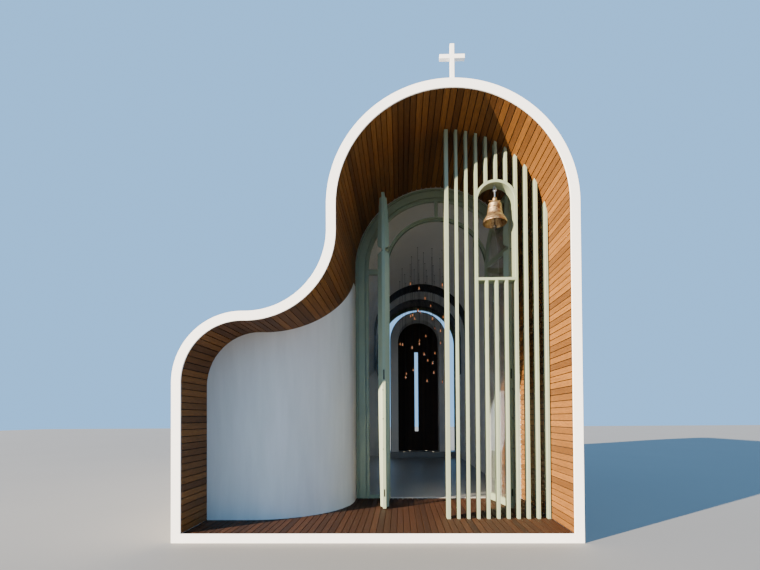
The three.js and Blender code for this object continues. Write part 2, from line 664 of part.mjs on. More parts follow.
const REAR_INNER = SCREEN_RADIUS - REAR_RING
const REAR_BACK = REAR_DEPTH + SCREEN_THICKNESS
const rearRail = (side) => block(
  ARCH_X + side * (APSE_OUTER + JOINT), ARCH_X + side * (REAR_INNER + OVERLAP),
  REAR_DEPTH, REAR_BACK, ON_SLAB, RAIL_TOP,
)
const rearBar = block(
  ARCH_X - MULLION / 2, ARCH_X + MULLION / 2, REAR_DEPTH, REAR_BACK,
  APSE_SPRING + APSE_OUTER + JOINT, SPRING + REAR_INNER + OVERLAP,
)
add('rear_screen_frame', joined(
  archBand(SCREEN_RADIUS, REAR_INNER, ON_SLAB, REAR_DEPTH, REAR_BACK), rearBar, rearRail(-1), rearRail(1),
), SAGE)
const rearBand = strip(stilted(REAR_INNER - JOINT, 0), stilted(APSE_OUTER + JOINT, 0, APSE_SPRING))
const rearGlass = (side) => glazing(side, rearBand, RAIL_TOP, CROWN).translate(0, rearPane, 0)
add('rear_left_glass', rearGlass(-1), CLEAR_GLASS)
add('rear_right_glass', rearGlass(1), CLEAR_GLASS)

// Hanging lamps on thin leads from a plate under the vault, spread on a sunflower spiral
const plateArc = (radius) => arc(ARCH_X, SPRING, radius, 2 * Math.PI / 3, Math.PI / 3, ARCH_STEPS / 3)
const plateReach = LAMP_SPREAD_Y + PLATE_MARGIN
const lampPlate = alongY(
  strip(plateArc(SCREEN_RADIUS), plateArc(SCREEN_RADIUS - CEILING_PLATE)),
  LAMP_MIDDLE - plateReach, LAMP_MIDDLE + plateReach,
)
const GOLDEN_ANGLE = Math.PI * (3 - Math.sqrt(5))
const lamp = (i) => {
  const reach = Math.sqrt((i + 0.5) / LAMP_COUNT)
  const x = ARCH_X + LAMP_SPREAD_X * reach * Math.cos(i * GOLDEN_ANGLE)
  const y = LAMP_MIDDLE + LAMP_SPREAD_Y * reach * Math.sin(i * GOLDEN_ANGLE)
  const z = LAMP_LOWEST + LAMP_RANGE * ((i * Math.SQRT2) % 1)
  const half = LAMP_LEAD / 2
  const lead = block(
    x - half, x + half, y - half, y + half, z + BULB_HEIGHT - LEAD_ROOT, soffit(x) - CEILING_PLATE / 2,
  )
  const bulb = new THREE.LatheGeometry(BULB_PROFILE.map(([r, h]) => point(r, h)), LAMP_SIDES)
  return [lead, bulb.rotateX(Math.PI / 2).translate(x, y, z)]
}
const lamps = Array.from({ length: LAMP_COUNT }, (_, i) => lamp(i)).flat()
add('hanging_lamps', joined(lampPlate, ...lamps), LAMP_GLASS)

export default building
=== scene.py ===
"""Looks of a small modern chapel: white S-shaped shell, timber porch, arched screen, fins, bell and lamps.

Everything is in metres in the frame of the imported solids: +X to the right seen from the front,
+Y into the building, +Z up, with the origin on the ground under the middle of the building.
"""

import json
import logging
import math
import random
from collections.abc import Callable, Iterable, Sequence
from dataclasses import dataclass, field
from enum import Enum

import bmesh
import bpy
from mathutils import Matrix, Vector


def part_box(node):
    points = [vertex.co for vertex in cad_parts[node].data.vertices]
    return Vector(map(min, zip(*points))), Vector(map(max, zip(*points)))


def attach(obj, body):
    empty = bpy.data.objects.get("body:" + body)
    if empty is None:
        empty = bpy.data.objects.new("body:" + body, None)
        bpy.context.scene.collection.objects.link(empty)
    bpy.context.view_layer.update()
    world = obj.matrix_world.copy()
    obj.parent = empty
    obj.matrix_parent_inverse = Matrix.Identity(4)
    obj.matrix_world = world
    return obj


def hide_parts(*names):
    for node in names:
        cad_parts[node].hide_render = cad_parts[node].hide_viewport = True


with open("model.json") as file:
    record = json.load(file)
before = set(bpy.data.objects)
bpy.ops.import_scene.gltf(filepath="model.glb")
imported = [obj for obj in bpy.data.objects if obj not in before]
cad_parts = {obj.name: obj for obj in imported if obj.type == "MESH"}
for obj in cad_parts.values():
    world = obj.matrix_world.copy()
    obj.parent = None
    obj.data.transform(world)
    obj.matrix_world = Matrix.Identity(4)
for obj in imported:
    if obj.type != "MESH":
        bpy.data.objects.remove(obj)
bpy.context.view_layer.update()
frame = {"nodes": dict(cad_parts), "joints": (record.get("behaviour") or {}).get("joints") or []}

LOG = logging.getLogger("chapel")

MM = 0.001
# Clearance between neighbours that would otherwise share a face
GAP = 0.3 * MM
# How far a part runs into the one that it joins
LAP = 1 * MM
Point = tuple[float, float]
Path = Callable[[float], list[Point]]
Inputs = dict[str | int, object]


class Body(str, Enum):
    """The bodies that pieces ride on."""

    BUILDING = "building"
    LEFT_DOOR = "left_door"
    RIGHT_DOOR = "right_door"
    BELL = "bell"
    CLAPPER = "clapper"


class Side(Enum):
    """Left or right of the middle of the doorway, seen from the front."""

    LEFT = -1
    RIGHT = 1


# Colours and nodes
def linear(code: str) -> tuple[float, float, float, float]:
    """Turns an sRGB hex colour into linear light.

    Args:
        code: six hex digits after a hash.

    Returns:
        Red, green, blue and an alpha of one.
    """
    parts = [int(code[i:i + 2], 16) / 255 for i in (1, 3, 5)]
    red, green, blue = (c / 12.92 if c <= 0.04045 else ((c + 0.055) / 1.055) ** 2.4 for c in parts)
    return red, green, blue, 1.0


def add_node(
    tree: bpy.types.NodeTree, kind: str, inputs: Inputs | None = None, **settings: object
) -> bpy.types.Node:
    """Adds one node with its settings and links.

    Args:
        tree: the node tree of a material or of the world.
        kind: the node's type name.
        inputs: a value or another node's output for each input, by its name or number.
        settings: the node's own properties.

    Returns:
        The new node.
    """
    node = tree.nodes.new(kind)
    for name, value in settings.items():
        setattr(node, name, value)
    for key, value in (inputs or {}).items():
        if isinstance(value, bpy.types.NodeSocket):
            tree.links.new(value, node.inputs[key])
        else:
            node.inputs[key].default_value = value
    return node


# Sockets of the colour form of the Mix node, and of the nodes that calculate
MIX_FACTOR, MIX_FIRST, MIX_SECOND, MIX_RESULT = 0, 6, 7, 2
FIRST, SECOND, FACTOR = 0, 1, 3


@dataclass(frozen=True)
class Finish:
    """What one surface is made of, and the record's slot that it belongs to."""

    name: str
    slot: str

    def surface(self, tree: bpy.types.NodeTree, place: bpy.types.NodeSocket) -> Inputs:
        """Draws the nodes of the surface; each kind of finish has its own.

        Args:
            tree: the material's node tree.
            place: where a point lies on the object, in metres.

        Returns:
            What goes into the shader's inputs.
        """
        raise NotImplementedError

    def material(self) -> bpy.types.Material:
        """Makes the material on its first use.

        Returns:
            The material, which all pieces with this finish share.
        """
        found = bpy.data.materials.get(self.name)
        if found:
            return found
        material = bpy.data.materials.new(self.name)
        material.use_nodes = True
        tree = material.node_tree
        tree.nodes.clear()
        place = add_node(tree, "ShaderNodeTexCoord").outputs["Object"]
        shader = add_node(tree, "ShaderNodeBsdfPrincipled", self.surface(tree, place))
        add_node(tree, "ShaderNodeOutputMaterial", {"Surface": shader.outputs["BSDF"]})
        return material


@dataclass(frozen=True)
class MineralRender(Finish):
    """Trowelled mineral render, plaster, felt or sheathing: matt, with faint clouds and a fine tooth.

    Real grit is 1 to 2 mm. It is drawn two to four times as coarse, so that it shows.
    """

    light: str
    dark: str
    cloud_mm: float = 700.0
    drag: float = 1.0
    grit_mm: float = 4.0
    roughness: float = 0.85

    def surface(self, tree: bpy.types.NodeTree, place: bpy.types.NodeSocket) -> Inputs:
        """Clouds from the float, drawn upright by its strokes, and the grit of the top coat as bump.

        Args:
            tree: the material's node tree.
            place: where a point lies on the object.

        Returns:
            What goes into the shader's inputs.
        """
        drawn = add_node(tree, "ShaderNodeMapping", {"Vector": place, "Scale": (1.0, 1.0, 1 / self.drag)})
        cloud = add_node(tree, "ShaderNodeTexNoise", {
            "Vector": drawn.outputs["Vector"], "Scale": 1 / (self.cloud_mm * MM),
            "Detail": 5.0, "Roughness": 0.6,
        })
        tint = add_node(tree, "ShaderNodeMix", {
            MIX_FACTOR: cloud.outputs["Fac"], MIX_FIRST: linear(self.light), MIX_SECOND: linear(self.dark),
        }, data_type="RGBA")
        grit = add_node(tree, "ShaderNodeTexNoise", {
            "Vector": place, "Scale": 1 / (self.grit_mm * MM), "Detail": 3.0,
        })
        bump = add_node(tree, "ShaderNodeBump", {
            "Strength": 0.25, "Distance": 0.4 * MM, "Height": grit.outputs["Fac"],
        })
        return {
            "Base Color": tint.outputs[MIX_RESULT], "Roughness": self.roughness,
            "Normal": bump.outputs["Normal"],
        }


@dataclass(frozen=True)
class PowderCoat(Finish):
    """Powder-coated aluminium: satin, with a faint orange peel and slight dust."""

    colour: str
    dust: str
    roughness: float = 0.42
    peel_mm: float = 2.5
    dust_mm: float = 350.0

    def surface(self, tree: bpy.types.NodeTree, place: bpy.types.NodeSocket) -> Inputs:
        """Dust lies in soft patches, and the peel breaks up the highlights.

        Args:
            tree: the material's node tree.
            place: where a point lies on the object.

        Returns:
            What goes into the shader's inputs.
        """
        patches = add_node(tree, "ShaderNodeTexNoise", {
            "Vector": place, "Scale": 1 / (self.dust_mm * MM), "Detail": 4.0,
        })
        tint = add_node(tree, "ShaderNodeMix", {
            MIX_FACTOR: patches.outputs["Fac"],
            MIX_FIRST: linear(self.colour), MIX_SECOND: linear(self.dust),
        }, data_type="RGBA")
        peel = add_node(tree, "ShaderNodeTexNoise", {"Vector": place, "Scale": 1 / (self.peel_mm * MM)})
        bump = add_node(tree, "ShaderNodeBump", {
            "Strength": 0.1, "Distance": 0.1 * MM, "Height": peel.outputs["Fac"],
        })
        return {
            "Base Color": tint.outputs[MIX_RESULT], "Roughness": self.roughness,
            "Normal": bump.outputs["Normal"],
        }


@dataclass(frozen=True)
class OiledHardwood(Finish):
    """Planed and oiled hardwood such as iroko: each board has its own tone, with fine dark pores.

    Real pores are under 1 mm wide. They are drawn at 3 mm, so that they show.
    """

    pale: str
    middle: str
    dark: str
    grain_mm: float = 3.0
    figure_mm: float = 28.0
    stretch: float = 30.0
    roughness: float = 0.55
    sheen: float = 0.25
    # How far apart in the grain two boards may be cut, in metres
    board_shift: tuple[float, float, float] = (37.0, 53.0, 41.0)

    def surface(self, tree: bpy.types.NodeTree, place: bpy.types.NodeSocket) -> Inputs:
        """A tone for each board, a wavy figure along it, and pores as streaks and bump.

        Args:
            tree: the material's node tree.
            place: where a point lies on the object.

        Returns:
            What goes into the shader's inputs.
        """
        board = add_node(tree, "ShaderNodeNewGeometry").outputs["Random Per Island"]
        shift = add_node(
            tree, "ShaderNodeVectorMath", {FIRST: self.board_shift, FACTOR: board}, operation="SCALE",
        )
        moved = add_node(tree, "ShaderNodeVectorMath", {FIRST: place, SECOND: shift.outputs["Vector"]})
        drawn = add_node(tree, "ShaderNodeMapping", {
            "Vector": moved.outputs["Vector"], "Scale": (1.0, 1 / self.stretch, 1.0),
        }).outputs["Vector"]
        figure = add_node(tree, "ShaderNodeTexNoise", {
            "Vector": drawn, "Scale": 1 / (self.figure_mm * MM), "Detail": 3.0, "Distortion": 0.6,
        })
        pores = add_node(tree, "ShaderNodeTexNoise", {
            "Vector": drawn, "Scale": 1 / (self.grain_mm * MM), "Detail": 2.0,
        })
        tone = add_node(tree, "ShaderNodeMix", {
            MIX_FACTOR: board, MIX_FIRST: linear(self.dark), MIX_SECOND: linear(self.pale),
        }, data_type="RGBA")
        figured = add_node(tree, "ShaderNodeMix", {
            MIX_FACTOR: figure.outputs["Fac"], MIX_FIRST: tone.outputs[MIX_RESULT],
            MIX_SECOND: linear(self.middle),
        }, data_type="RGBA")
        streak = add_node(tree, "ShaderNodeMapRange", {
            "Value": pores.outputs["Fac"],
            "From Min": 0.35, "From Max": 0.65, "To Min": 0.62, "To Max": 1.1,
        })
        grained = add_node(tree, "ShaderNodeVectorMath", {
            FIRST: figured.outputs[MIX_RESULT], FACTOR: streak.outputs["Result"],
        }, operation="SCALE")
        bump = add_node(tree, "ShaderNodeBump", {
            "Strength": 0.35, "Distance": 0.3 * MM, "Height": pores.outputs["Fac"],
        })
        return {
            "Base Color": grained.outputs["Vector"], "Roughness": self.roughness,
            "Specular IOR Level": self.sheen, "Normal": bump.outputs["Normal"],
        }


@dataclass(frozen=True)
class PolishedConcrete(Finish):
    """Ground and sealed concrete: grey clouds, small stones, a low sheen."""

    light: str
    dark: str
    roughness: float = 0.3
    cloud_mm: float = 500.0
    stone_mm: float = 9.0

    def surface(self, tree: bpy.types.NodeTree, place: bpy.types.NodeSocket) -> Inputs:
        """Clouds of cement with stones ground flush.

        Args:
            tree: the material's node tree.
            place: where a point lies on the object.

        Returns:
            What goes into the shader's inputs.
        """
        cloud = add_node(tree, "ShaderNodeTexNoise", {
            "Vector": place, "Scale": 1 / (self.cloud_mm * MM), "Detail": 8.0, "Roughness": 0.65,
        })
        stones = add_node(tree, "ShaderNodeTexVoronoi", {
            "Vector": place, "Scale": 1 / (self.stone_mm * MM),
        })
        mixed = add_node(tree, "ShaderNodeMath", {
            FIRST: cloud.outputs["Fac"], SECOND: stones.outputs["Distance"],
        }, operation="MULTIPLY")
        tint = add_node(tree, "ShaderNodeMix", {
            MIX_FACTOR: mixed.outputs["Value"],
            MIX_FIRST: linear(self.light), MIX_SECOND: linear(self.dark),
        }, data_type="RGBA")
        return {"Base Color": tint.outputs[MIX_RESULT], "Roughness": self.roughness}


@dataclass(frozen=True)
class BareMetal(Finish):
    """Uncoated metal, such as anodised aluminium, brushed steel, cast bronze or forged iron.

    Real brushing lines are finer than 0.1 mm. They are drawn as coarse as they need to show.
    """

    bright: str
    dull: str
    roughness: float = 0.35
    mottle_mm: float = 40.0
    line_mm: float = 0.8
    stretch: float = 40.0

    def surface(self, tree: bpy.types.NodeTree, place: bpy.types.NodeSocket) -> Inputs:
        """Mottled tone, with brushing or turning lines round the upright axis as bump.

        Args:
            tree: the material's node tree.
            place: where a point lies on the object.

        Returns:
            What goes into the shader's inputs.
        """
        mottle = add_node(tree, "ShaderNodeTexNoise", {
            "Vector": place, "Scale": 1 / (self.mottle_mm * MM), "Detail": 6.0, "Roughness": 0.6,
        })
        contrast = add_node(tree, "ShaderNodeMapRange", {
            "Value": mottle.outputs["Fac"], "From Min": 0.4, "From Max": 0.62,
        })
        tint = add_node(tree, "ShaderNodeMix", {
            MIX_FACTOR: contrast.outputs["Result"],
            MIX_FIRST: linear(self.bright), MIX_SECOND: linear(self.dull),
        }, data_type="RGBA")
        drawn = add_node(tree, "ShaderNodeMapping", {
            "Vector": place, "Scale": (1 / self.stretch, 1 / self.stretch, 1.0),
        })
        lines = add_node(tree, "ShaderNodeTexNoise", {
            "Vector": drawn.outputs["Vector"], "Scale": 1 / (self.line_mm * MM),
        })
        bump = add_node(tree, "ShaderNodeBump", {
            "Strength": 0.15, "Distance": 0.1 * MM, "Height": lines.outputs["Fac"],
        })
        return {
            "Base Color": tint.outputs[MIX_RESULT], "Metallic": 1.0, "Roughness": self.roughness,
            "Normal": bump.outputs["Normal"],
        }


@dataclass(frozen=True)
class FloatGlass(Finish):
    """Clear float or blown glass, with sharp reflections over a nearly clear pane, or frosted and lit."""

    colour: str
    clearness: float = 1.0
    glow: float = 0.0
    roughness: float = 0.02
    ior: float = 1.5
    # Waves of the sheet for each metre
    waves: float = 1.2

    def surface(self, tree: bpy.types.NodeTree, place: bpy.types.NodeSocket) -> Inputs:
        """Faint waviness of the sheet as bump; a clear pane covers more the more it is seen aslant.

        Args:
            tree: the material's node tree.
            place: where a point lies on the object.

        Returns:
            What goes into the shader's inputs.
        """
        sheet = add_node(tree, "ShaderNodeTexNoise", {"Vector": place, "Scale": self.waves, "Detail": 0.0})
        bump = add_node(tree, "ShaderNodeBump", {
            "Strength": 0.04, "Distance": 2 * MM, "Height": sheet.outputs["Fac"],
        })
        inputs = {
            "Base Color": linear(self.colour), "Roughness": self.roughness, "IOR": self.ior,
            "Transmission Weight": self.clearness, "Emission Color": linear(self.colour),
            "Emission Strength": self.glow, "Normal": bump.outputs["Normal"],
        }
        if self.clearness:
            slant = add_node(tree, "ShaderNodeLayerWeight", {"Blend": 0.35}).outputs["Facing"]
            cover = add_node(tree, "ShaderNodeMapRange", {
                "Value": slant, "From Min": 0.1, "From Max": 0.9, "To Min": 0.12, "To Max": 0.9,
            })
            inputs["Alpha"] = cover.outputs["Result"]
        return inputs


# The shell is rendered white with a steel float, so it is even and matt
WHITE_RENDER = MineralRender("trowelled_white_render", "white_render", "#EDEBE6", "#DEDCD6")
# The wall under the low roof is sponged, a little greyer, with faint upright streaks
WALL_RENDER = MineralRender(
    "sponged_white_render", "white_render", "#E6E3DC", "#CBC8C0", cloud_mm=160.0, drag=7.0,
)
# Gypsum plaster inside, painted light grey
GREY_PLASTER = MineralRender("painted_grey_plaster", "plaster", "#DAD9D6", "#CFCECA", grit_mm=2.0)
# The rims and the cross are coated white and catch a soft highlight
WHITE_COAT = PowderCoat("white_powder_coat", "white_rim", "#F6F6F4", "#ECECEA", roughness=0.4)
# The joinery is coated sage green, with soft patches of slightly darker dust
SAGE_COAT = PowderCoat("sage_powder_coat", "sage_aluminium", "#8E9A81", "#7F8B74", roughness=0.36)
# Iroko boards of the lining, warm and very mixed in tone
LINING_BOARDS = OiledHardwood("oiled_iroko_lining", "timber_lining", "#9C682F", "#654019", "#442812")
# The decking is flatter than the lining, and its colours are darkened as painted shade, as of a porch floor
# that the sun hardly reaches
DECK_BOARDS_PAINTED_SHADE = OiledHardwood(
    "oiled_iroko_decking", "deck_timber", "#5A361C", "#402613", "#29170B", roughness=0.66,
)
# Stained slats in the vault and behind the apse, nearly black
DARK_SLATS = OiledHardwood(
    "stained_oak_slats", "dark_timber", "#4A3527", "#35261C", "#241914", roughness=0.6,
)
# Building felt behind the open joints reads as a black line; its black also stands in for the shade deep in
# the joints, and it is painted shade in the weep holes. Seals, bolt heads and trim share it
BLACK_FELT_AND_PAINTED_SHADE = MineralRender("black_building_felt", "timber_lining", "#17130F", "#0E0C0A", grit_mm=3.0)
# Black sheathing of leads and caps, a little smoother than felt
BLACK_CABLE = MineralRender("black_cable_sheath", "lamp_glass", "#1B1A19", "#121110", roughness=0.5)
# Concrete floors are ground and sealed: cool grey, with a blurred reflection of the light outside
GROUND_CONCRETE = PolishedConcrete("sealed_grey_concrete", "concrete", "#8E8F8E", "#6E6F6F", roughness=0.42)
# The threshold's anodised aluminium is satin, and it shows as a pale line
SATIN_ALUMINIUM = BareMetal("satin_anodised_aluminium", "aluminium", "#E2E2DF", "#D2D2CF", roughness=0.6)
# Brushed stainless steel of the shackle and the rims of the lights, brighter and sharper
STEEL = BareMetal("brushed_stainless_steel", "aluminium", "#C9CACB", "#A9AAAC", roughness=0.3)
# Cast bronze, turned bright on the waist and brown where it has weathered
BRONZE = BareMetal("cast_bronze", "bronze", "#BBA37E", "#7C6043", roughness=0.48, line_mm=3.0)
# The clapper and the lock plates are blackened iron
FORGED_IRON = BareMetal("blackened_forged_iron", "bronze", "#3A3835", "#262422", roughness=0.5)
# Panes of clear float glass with a faint green tint
CLEAR_GLASS = FloatGlass("clear_float_glass", "glass", "#E9F2EF")
# Bulbs of clear glass round a small warm core
BULB_GLASS = FloatGlass("clear_bulb_glass", "lamp_glass", "#FFE3C4")
# The lenses of the floor lights are frosted and lit nearly white
LIGHT_LENS = FloatGlass("frosted_light_lens", "lamp_glass", "#FFEFD2", clearness=0.0, glow=2.5)
# The core of a bulb glows orange, dim enough to keep its colour
LAMP_CORE = FloatGlass("frosted_lamp_core", "lamp_glass", "#FFA060", clearness=0.0, glow=1.0)
# The studio floor is pale grey, dull enough to leave the vault its shade
STUDIO_FLOOR = MineralRender("studio_floor", "", "#8A8884", "#84827E", cloud_mm=4000.0)


# Points, paths and meshes
def arc(x: float, z: float, radius: float, start: float, end: float, steps: int) -> list[Point]:
    """Points on a round arc, both ends included.

    Args:
        x: centre on the first axis.
        z: centre on the second axis.
        radius: radius of the arc.
        start: first angle, in radians.
        end: last angle.
        steps: number of steps between the ends.

    Returns:
        The points in order.
    """
    turn = (end - start) / steps
    return [
        (x + radius * math.cos(start + i * turn), z + radius * math.sin(start + i * turn))
        for i in range(steps + 1)
    ]


def metres(pairs_mm: Sequence[Point]) -> list[Point]:
    """Turns pairs in millimetres into metres."""
    return [(first * MM, second * MM) for first, second in pairs_mm]


def layer(outer: float, inner: float, near: float, far: float) -> tuple[Point, ...]:
    """Section of a layer between two offsets and two places on Y."""
    return (outer, near), (outer, far), (inner, far), (inner, near)


@dataclass
class Shape:
    """Vertices and faces gathered for one piece."""

    vertices: list[Vector] = field(default_factory=list)
    faces: list[tuple[int, ...]] = field(default_factory=list)

    def skin(self, rings: Sequence[Sequence[Vector]], closed: bool = False) -> None:
        """Joins rings of equal length into a tube, capped unless its ends meet.

        Args:
            rings: the sections, each closed on itself.
            closed: whether the last ring is joined to the first.
        """
        start = len(self.vertices)
        count = len(rings[0])
        for ring in rings:
            self.vertices.extend(ring)
        spans = len(rings) if closed else len(rings) - 1
        for i in range(spans):
            near = start + i * count
            far = start + (i + 1) % len(rings) * count
            for j in range(count):
                k = (j + 1) % count
                self.faces.append((near + j, near + k, far + k, far + j))
        if not closed:
            last = start + (len(rings) - 1) * count
            self.faces.append(tuple(range(start, start + count)))
            self.faces.append(tuple(range(last, last + count)))

    def sweep(self, path: Path, section: Sequence[Point], closed: bool = False) -> None:
        """Carries a section along a path in the plane of the front.

        Args:
            path: gives the path's points (x, z) for an offset from its edge.
            section: pairs of an offset and a place on Y.
            closed: whether the path returns to its start.
        """
        lines = [[Vector((x, y, z)) for x, z in path(offset)] for offset, y in section]
        self.skin(list(zip(*lines)), closed)

    def bar(self, section: Sequence[Vector], near: float, far: float) -> None:
        """A straight bar between two places on Y, its section given as (x, z)."""
        self.skin([[Vector((p.x, y, p.y)) for p in section] for y in (near, far)])

    def slab(self, outline: Path, near: float, far: float, edge: float) -> None:
        """A plate with eased edges between two places on Y.

        Args:
            outline: gives the closed outline (x, z) for an offset inwards.
            near: front face on Y.
            far: back face on Y.
            edge: width of the eased edge.
        """
        levels = ((edge, near), (0.0, near + edge), (0.0, far - edge), (edge, far))
        self.skin([[Vector((x, y, z)) for x, z in outline(inset)] for inset, y in levels])

    def block(self, low: Sequence[float], high: Sequence[float], edge: float = 2 * MM) -> None:
        """An upright block with eased edges.

        Args:
            low: its lowest corner.
            high: its highest corner.
            edge: width of the eased edges.
        """
        def ring(inset: float, z: float) -> list[Vector]:
            """The block's plan.

            Args:
                inset: how far it is moved inwards.
                z: its height.

            Returns:
                Its eight corners.
            """
            x0, y0 = low[0] + inset, low[1] + inset
            x1, y1 = high[0] - inset, high[1] - inset
            plan = (
                (x0 + edge, y0), (x1 - edge, y0), (x1, y0 + edge), (x1, y1 - edge),
                (x1 - edge, y1), (x0 + edge, y1), (x0, y1 - edge), (x0, y0 + edge),
            )
            return [Vector((x, y, z)) for x, y in plan]
        z0, z1 = low[2], high[2]
        self.skin([ring(edge, z0), ring(0.0, z0 + edge), ring(0.0, z1 - edge), ring(edge, z1)])

    def post(self, centre: Point, halves: Point, low: float, high: float, edge: float) -> None:
        """A block about an upright axis.

        Args:
            centre: where the axis stands, on X and Y.
            halves: half of the block's width on X and on Y.
            low: its foot.
            high: its head.
            edge: width of the eased edges.
        """
        (x, y), (half_x, half_y) = centre, halves
        self.block((x - half_x, y - half_y, low), (x + half_x, y + half_y, high), edge)

    def turned(
        self, profile: Sequence[Point], centre: Vector, sides: int,
        along_x: bool = False, closed: bool = False,
    ) -> None:
        """A turned piece.

        Args:
            profile: radius and height pairs from one end to the other.
            centre: where height zero lies on the axis.
            sides: number of facets round the axis.
            along_x: whether the axis lies along X instead of upright.
            closed: whether the profile returns to its start, as that of a hollow piece.
        """
        rings = []
        for radius, height in profile:
            ring = []
            for i in range(sides):
                angle = 2 * math.pi * i / sides
                a, b = radius * math.cos(angle), radius * math.sin(angle)
                ring.append(centre + Vector((height, a, b) if along_x else (a, b, height)))
            rings.append(ring)
        self.skin(rings, closed)

    def ring(
        self, centre: Vector, radius: float, wire: float, across: Vector, sides: int = 32, facets: int = 12,
    ) -> None:
        """A round wire ring.

        Args:
            centre: middle of the ring.
            radius: radius of the wire's centre line.
            wire: radius of the wire.
            across: the axis that the hole looks along.
            sides: number of steps round the ring.
            facets: number of steps round the wire.
        """
        across = across.normalized()
        first = across.orthogonal().normalized()
        second = across.cross(first)
        rings = []
        for i in range(sides):
            angle = 2 * math.pi * i / sides
            out = first * math.cos(angle) + second * math.sin(angle)
            middle = centre + out * radius
            rings.append([
                middle + wire * (out * math.cos(t) + across * math.sin(t))
                for t in (2 * math.pi * k / facets for k in range(facets))
            ])
        self.skin(rings, closed=True)

    def build(
        self, name: str, finish: Finish, body: Body = Body.BUILDING, replaces: Iterable[str] = (),
        place: Matrix | None = None, crease_deg: float = 32.0,
    ) -> bpy.types.Object:
        """Makes the piece, dresses it and lets it ride.

        Args:
            name: name of the piece.
            finish: its finish.
            body: the body that it moves with.
            replaces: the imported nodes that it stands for.
            place: where the shape's own coordinates lie in the frame.
            crease_deg: faces that meet at more than this angle keep a sharp edge.

        Returns:
            The new object.
        """
        mesh = bpy.data.meshes.new(name)
        mesh.from_pydata([tuple(v) for v in self.vertices], [], self.faces)
        if place is not None:
            mesh.transform(place)
        clean = bmesh.new()
        clean.from_mesh(mesh)
        bmesh.ops.recalc_face_normals(clean, faces=clean.faces)
        clean.to_mesh(mesh)
        clean.free()
        mesh.shade_smooth()
        mesh.set_sharp_from_angle(angle=math.radians(crease_deg))
        mesh.materials.append(finish.material())
        piece = bpy.data.objects.new(name, mesh)
        bpy.context.scene.collection.objects.link(piece)
        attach(piece, body.value)
        if replaces:
            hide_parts(*replaces)
        LOG.info("%s: %d faces, %s", name, len(mesh.polygons), finish.name)
        return piece


def dress_nodes(finish: Finish, *names: str) -> None:
    """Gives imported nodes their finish.

    Args:
        finish: the finish.
        names: the nodes, which keep their solids.
    """
    for name in names:
        node = frame["nodes"][name]
        node.data.materials.clear()
        node.data.materials.append(finish.material())
        LOG.info("%s keeps its solid: %s", name, finish.name)


@dataclass(frozen=True)
class Outline:
    """S-shaped outline of the shell: low shoulder on the left, hollow, stilted arch on the right."""

    half_width: float = 2.64
    arch_x: float = 1.01
    spring: float = 4.35
    hollow_radius: float = 1.055
    shoulder_radius: float = 0.922
    shoulder_z: float = 2.07
    steps: int = 48

    @property
    def arch_radius(self) -> float:
        """Radius of the main arch."""
        return self.half_width - self.arch_x

    @property
    def neck_x(self) -> float:
        """Left face of the main arch."""
        return self.arch_x - self.arch_radius

    @property
    def hollow_x(self) -> float:
        """Centre of the hollow."""
        return self.neck_x - self.hollow_radius

    @property
    def shoulder_x(self) -> float:
        """Centre of the shoulder."""
        return self.shoulder_radius - self.half_width

    @property
    def hollow_z(self) -> float:
        """Height of the hollow's centre, where the two curves touch."""
        radii = self.hollow_radius + self.shoulder_radius
        return self.shoulder_z + math.sqrt(radii ** 2 - (self.hollow_x - self.shoulder_x) ** 2)

    @property
    def turn(self) -> float:
        """Direction from the shoulder's centre to the hollow's centre."""
        return math.atan2(self.hollow_z - self.shoulder_z, self.hollow_x - self.shoulder_x)

    def points(self, inset: float, floor: float) -> list[Point]:
        """The outline moved inwards.

        Args:
            inset: how far it is moved.
            floor: height of both feet.

        Returns:
            Points (x, z) from the left foot over the arch to the right foot.
        """
        edge = self.half_width - inset
        shoulder = self.shoulder_radius - inset
        hollow = self.hollow_radius + inset
        return [
            (-edge, floor),
            *arc(self.shoulder_x, self.shoulder_z, shoulder, math.pi, self.turn, self.steps),
            *arc(self.hollow_x, self.hollow_z, hollow, self.turn - math.pi, 0.0, self.steps)[1:],
            *arc(self.arch_x, self.spring, self.arch_radius - inset, math.pi, 0.0, 2 * self.steps),
            (edge, floor),
        ]

    def spaced(self, inset: float, floor: float, spacing: float) -> list[Point]:
        """Points at equal steps along the outline.

        Args:
            inset: how far the outline is moved inwards.
            floor: height of both feet.
            spacing: the step, which gives way to a whole number of steps.

        Returns:
            Points (x, z), with both feet.
        """
        line = [Vector(p) for p in self.points(inset, floor)]
        reach = [0.0]
        for first, second in zip(line, line[1:]):
            reach.append(reach[-1] + (second - first).length)
        count = round(reach[-1] / spacing)
        found, i = [], 0
        for k in range(count + 1):
            target = reach[-1] * k / count
            while i < len(line) - 2 and reach[i + 1] < target:
                i += 1
            part = (target - reach[i]) / (reach[i + 1] - reach[i])
            found.append(tuple(line[i].lerp(line[i + 1], part)))
        return found

    def soffit(self, x: float, inset: float) -> float:
        """Height of the underside under the main arch."""
        return self.spring + math.sqrt((self.arch_radius - inset) ** 2 - (x - self.arch_x) ** 2)

    def low_soffit(self, x: float, inset: float) -> float:
        """Height of the underside left of the main arch.

        Args:
            x: the place.
            inset: how far the outline is moved inwards.

        Returns:
            The height.
        """
        shoulder = self.shoulder_radius - inset
        if x <= self.shoulder_x + shoulder * math.cos(self.turn):
            return self.shoulder_z + math.sqrt(max(shoulder ** 2 - (x - self.shoulder_x) ** 2, 0.0))
        hollow = self.hollow_radius + inset
        return self.hollow_z - math.sqrt(max(hollow ** 2 - (x - self.hollow_x) ** 2, 0.0))

    def stilted(self, radius: float, floor: float, spring: float | None = None) -> list[Point]:
        """A stilted arch about the middle of the main arch.

        Args:
            radius: its radius.
            floor: height of both feet.
            spring: its spring line, if it isn't the main arch's.

        Returns:
            Points (x, z) from the left foot to the right foot.
        """
        level = spring or self.spring
        return [
            (self.arch_x - radius, floor),
            *arc(self.arch_x, level, radius, math.pi, 0.0, 2 * self.steps),
            (self.arch_x + radius, floor),
        ]


OUTLINE = Outline()
